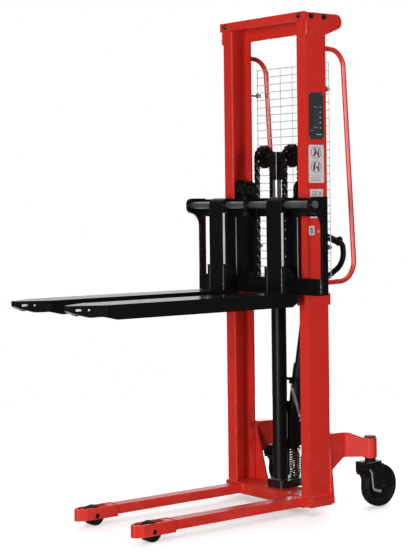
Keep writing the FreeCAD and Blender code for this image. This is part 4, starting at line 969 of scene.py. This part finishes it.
LABEL_FACE = MAST_OUTER
FILM_THICK = 0.0015
RATING_PLATE = ((0.015, 0.097), (1.554, 1.749))
PICTOGRAM_FILM = ((0.012, 0.096), (1.374, 1.531))
LOWER_FILM = ((0.017, 0.089), (1.228, 1.348))
TAG_FILM = ((0.009, 0.038), (1.158, 1.196))
TAG_CENTRE = (0.0235, 1.177)


def printed(mesh, outline, layer):
    """A flat printed shape on the outer face of the column, from (back, height) points."""
    x = LABEL_FACE + FILM_THICK + 0.0001 * layer
    points = [Vector((x, MAST_FRONT + back, height)) for back, height in outline]
    slab(mesh, points, X_AXIS * 0.00012)


def box_outline(back, height, width, tall):
    """A rectangle round its middle."""
    return [(back - width / 2, height - tall / 2), (back + width / 2, height - tall / 2),
            (back + width / 2, height + tall / 2), (back - width / 2, height + tall / 2)]


def disc_outline(back, height, radius, sides=28, squeeze=1.0):
    """A disc round its middle, narrowed by the squeeze."""
    turns = [2 * math.pi * number / sides for number in range(sides)]
    return [(back + radius * squeeze * math.cos(turn), height + radius * math.sin(turn))
            for turn in turns]


def rounded_outline(spans, radius):
    """A rectangle with rounded corners, from its back and height spans."""
    (near, far), (low, high) = spans
    corners = [(far - radius, high - radius, 0), (near + radius, high - radius, 90),
               (near + radius, low + radius, 180), (far - radius, low + radius, 270)]
    points = []
    for back, height, first_turn in corners:
        for step in range(6):
            turn = math.radians(first_turn + 18 * step)
            points.append((back + radius * math.cos(turn), height + radius * math.sin(turn)))
    return points


def film_base(mesh, spans, radius):
    """The film of one label, as thick as the CAD label."""
    outline = rounded_outline(spans, radius)
    points = [Vector((LABEL_FACE, MAST_FRONT + back, height)) for back, height in outline]
    slab(mesh, points, X_AXIS * FILM_THICK)


def rating_plate():
    """A charcoal plate with pale bars and dots where a load table would be."""
    base = bmesh.new()
    film_base(base, RATING_PLATE, 0.004)
    piece("rating_plate", base, "label_film", "mast_frame", PLATE_FILM)
    marks = bmesh.new()
    for number in range(5):
        height = 1.688 - number * 0.0215
        printed(marks, disc_outline(0.078, height, 0.0030), 1)
        printed(marks, box_outline(0.052, height, 0.022, 0.0016), 1)
    printed(marks, box_outline(0.070, 1.574, 0.030, 0.0030), 1)
    printed(marks, box_outline(0.030, 1.590, 0.012, 0.0016), 1)
    for corner in ((0.020, 1.744), (0.092, 1.744), (0.020, 1.559), (0.092, 1.559)):
        printed(marks, disc_outline(*corner, 0.0024), 1)
    piece("rating_plate_marks", marks, "label_film", "mast_frame", MARK_FILM)
    panel = bmesh.new()
    printed(panel, box_outline(0.056, 1.640, 0.030, 0.074), 1)
    piece("rating_plate_panel", panel, "label_film", "mast_frame", INK_FILM)


def pictogram(ink, red, height, lean):
    """A ring round a leaning person in front of a mast, at a height on the label."""
    centre = Vector((LABEL_FACE + 0.0017, MAST_FRONT + 0.052, height))
    tube(ink, circle(centre, Y_AXIS * 1.22, Z_AXIS, 0.0230, 36), 0.0009, 6, closed=True)
    printed(ink, disc_outline(0.046, height + 0.014, 0.0050), 1)
    printed(ink, [(0.036, height - 0.015), (0.046, height - 0.015), (0.053 + lean, height + 0.009),
                  (0.041 + lean, height + 0.009)], 1)
    printed(ink, [(0.062, height - 0.017), (0.068, height - 0.017), (0.070, height + 0.015),
                  (0.064, height + 0.015)], 2)
    printed(ink, disc_outline(0.066, height - 0.014, 0.0040), 3)
    printed(red, [(0.049, height - 0.004), (0.064, height - 0.013), (0.066, height - 0.004),
                  (0.051, height + 0.004)], 4)


def pictogram_label():
    """A pale label with two round pictograms and a yellow line, and a smaller one below it."""
    base, ink, red, yellow = bmesh.new(), bmesh.new(), bmesh.new(), bmesh.new()
    film_base(base, PICTOGRAM_FILM, 0.007)
    film_base(base, LOWER_FILM, 0.003)
    for height, lean in ((1.499, 0.005), (1.441, -0.007)):
        pictogram(ink, red, height, lean)
    printed(yellow, box_outline(0.052, 1.4035, 0.066, 0.0042), 1)
    for number in range(3):
        line = box_outline(0.050 - number * 0.003, 1.3945 - number * 0.0055, 0.058 - number * 0.006, 0.0012)
        printed(ink, line, 1)
    for tilt in SIDES.values():
        printed(red, [(0.070 - 0.008 * tilt, 1.320), (0.074 - 0.008 * tilt, 1.320),
                      (0.074 + 0.008 * tilt, 1.339), (0.070 + 0.008 * tilt, 1.339)], 1)
    for number in range(4):
        printed(ink, box_outline(0.042, 1.338 - number * 0.006, 0.030, 0.0018), 1)
    piece("pictogram_film", base, "label_film", "mast_frame", replaces=("identification_labels",))
    piece("pictogram_ink", ink, "label_film", "mast_frame", INK_FILM)
    piece("pictogram_red", red, "label_film", "mast_frame", RED_INK)
    piece("pictogram_yellow", yellow, "label_film", "mast_frame", YELLOW_INK)


def small_tag():
    """The small pale tag with a dark oval, and the pale triangle beside it."""
    base, ink, red = bmesh.new(), bmesh.new(), bmesh.new()
    film_base(base, TAG_FILM, 0.002)
    printed(red, [(0.050, 1.168), (0.072, 1.168), (0.061, 1.184)], 0)
    printed(ink, disc_outline(*TAG_CENTRE, 0.0125, squeeze=0.62), 1)
    piece("tag_film", base, "label_film", "mast_frame")
    piece("tag_ink", ink, "label_film", "mast_frame", INK_FILM)
    piece("warning_triangle", red, "label_film", "mast_frame", PINK_FILM)
    spot = bmesh.new()
    printed(spot, disc_outline(*TAG_CENTRE, 0.0065, squeeze=0.45), 2)
    piece("tag_centre", spot, "label_film", "mast_frame")


# ---------------------------------------------------------------- stage

FLOOR_CENTRE = Vector((-0.6, 0.5, 0))
FLOOR_RADIUS = 3.0


def floor():
    """A round sheet of white paper, left out of bounced and mirrored light."""
    mesh = bpy.data.meshes.new("floor")
    points = circle(FLOOR_CENTRE, X_AXIS, Y_AXIS, FLOOR_RADIUS, 96)
    mesh.from_pydata(points, [], [tuple(range(len(points)))])
    mesh.materials.append(floor_paper())
    item = bpy.data.objects.new("floor", mesh)
    item.visible_diffuse = False
    item.visible_glossy = False
    bpy.context.collection.objects.link(item)


CAMERA_AZIMUTH = math.radians(51.83)
CAMERA_ROLL = math.radians(-0.67)
CAMERA_PLACE = (4.790, -3.753, 1.302)
LENS_LENGTH = 96.18
LENS_SHIFT = -0.1356


def camera():
    """The operator's-left front view, level, with the lens shifted down."""
    right = Vector((math.cos(CAMERA_AZIMUTH), math.sin(CAMERA_AZIMUTH), 0))
    back = Vector((math.sin(CAMERA_AZIMUTH), -math.cos(CAMERA_AZIMUTH), 0))
    turn = Matrix((right, Z_AXIS, back)).transposed().to_4x4()
    roll = Matrix.Rotation(CAMERA_ROLL, 4, "Z")
    data = bpy.data.cameras.new("camera")
    data.lens = LENS_LENGTH
    data.shift_y = LENS_SHIFT
    item = bpy.data.objects.new("camera", data)
    item.matrix_world = Matrix.Translation(CAMERA_PLACE) @ turn @ roll
    bpy.context.collection.objects.link(item)
    bpy.context.scene.camera = item


def softbox(name, spot, target, width, height, power):
    """A rectangular studio light at a spot, facing its target."""
    data = bpy.data.lights.new(name, "AREA")
    data.shape = "RECTANGLE"
    data.size = width
    data.size_y = height
    data.energy = power
    item = bpy.data.objects.new(name, data)
    aim = Vector(target) - Vector(spot)
    item.matrix_world = Matrix.Translation(spot) @ aim.to_track_quat("-Z", "Y").to_matrix().to_4x4()
    bpy.context.collection.objects.link(item)


def backdrop():
    """A dark studio with a wall of white light on the far side of the machine."""
    world = bpy.data.worlds.new("studio")
    world.use_nodes = True
    tree = world.node_tree
    away = Vector((-math.sin(CAMERA_AZIMUTH), math.cos(CAMERA_AZIMUTH), 0))
    dot = tree.nodes.new("ShaderNodeVectorMath")
    dot.operation = "DOT_PRODUCT"
    dot.inputs[1].default_value = away
    tree.links.new(tree.nodes.new("ShaderNodeTexCoord").outputs["Generated"], dot.inputs[0])
    ramp = tree.nodes.new("ShaderNodeMapRange")
    ramp.interpolation_type = "SMOOTHSTEP"
    for key, value in {"From Min": 0.45, "From Max": 0.8, "To Min": 0.10, "To Max": 1.0}.items():
        ramp.inputs[key].default_value = value
    tree.links.new(dot.outputs["Value"], ramp.inputs["Value"])
    tree.links.new(ramp.outputs["Result"], tree.nodes["Background"].inputs["Strength"])
    tree.nodes["Background"].inputs["Color"].default_value = (1.0, 1.0, 1.0, 1.0)
    bpy.context.scene.world = world


def lights():
    """Four softboxes: two in front, one above and one behind."""
    aim = (0.0, 0.1, 0.8)
    softbox("key", (2.4, -6.0, 1.2), aim, 1.4, 2.8, 385.0)
    softbox("fill", (6.2, -0.7, 1.6), aim, 1.2, 2.8, 185.0)
    softbox("top", (0.0, 0.6, 5.6), aim, 3.0, 3.0, 130.0)
    softbox("back", (-3.2, 4.6, 2.6), aim, 2.6, 3.0, 120.0)
    bpy.context.scene.view_settings.view_transform = "Standard"


# ---------------------------------------------------------------- the scene

dress_nodes()
chains()
pump_spring()
tiller_spring()
wire_guard()
sprocket_cheeks()
crosshead_highlight()
for name in SIDES:
    caster(name)
    fork_shank(name)
    fork_tip(name)
load_rollers()
guide_rollers()
head_bolts()
mast_welds()
column_edges()
crossbeam_fold()
arm_welds()
carriage_details()
barrel_welds()
grip_flanges()
rating_plate()
pictogram_label()
small_tag()
floor()
backdrop()
lights()
camera()
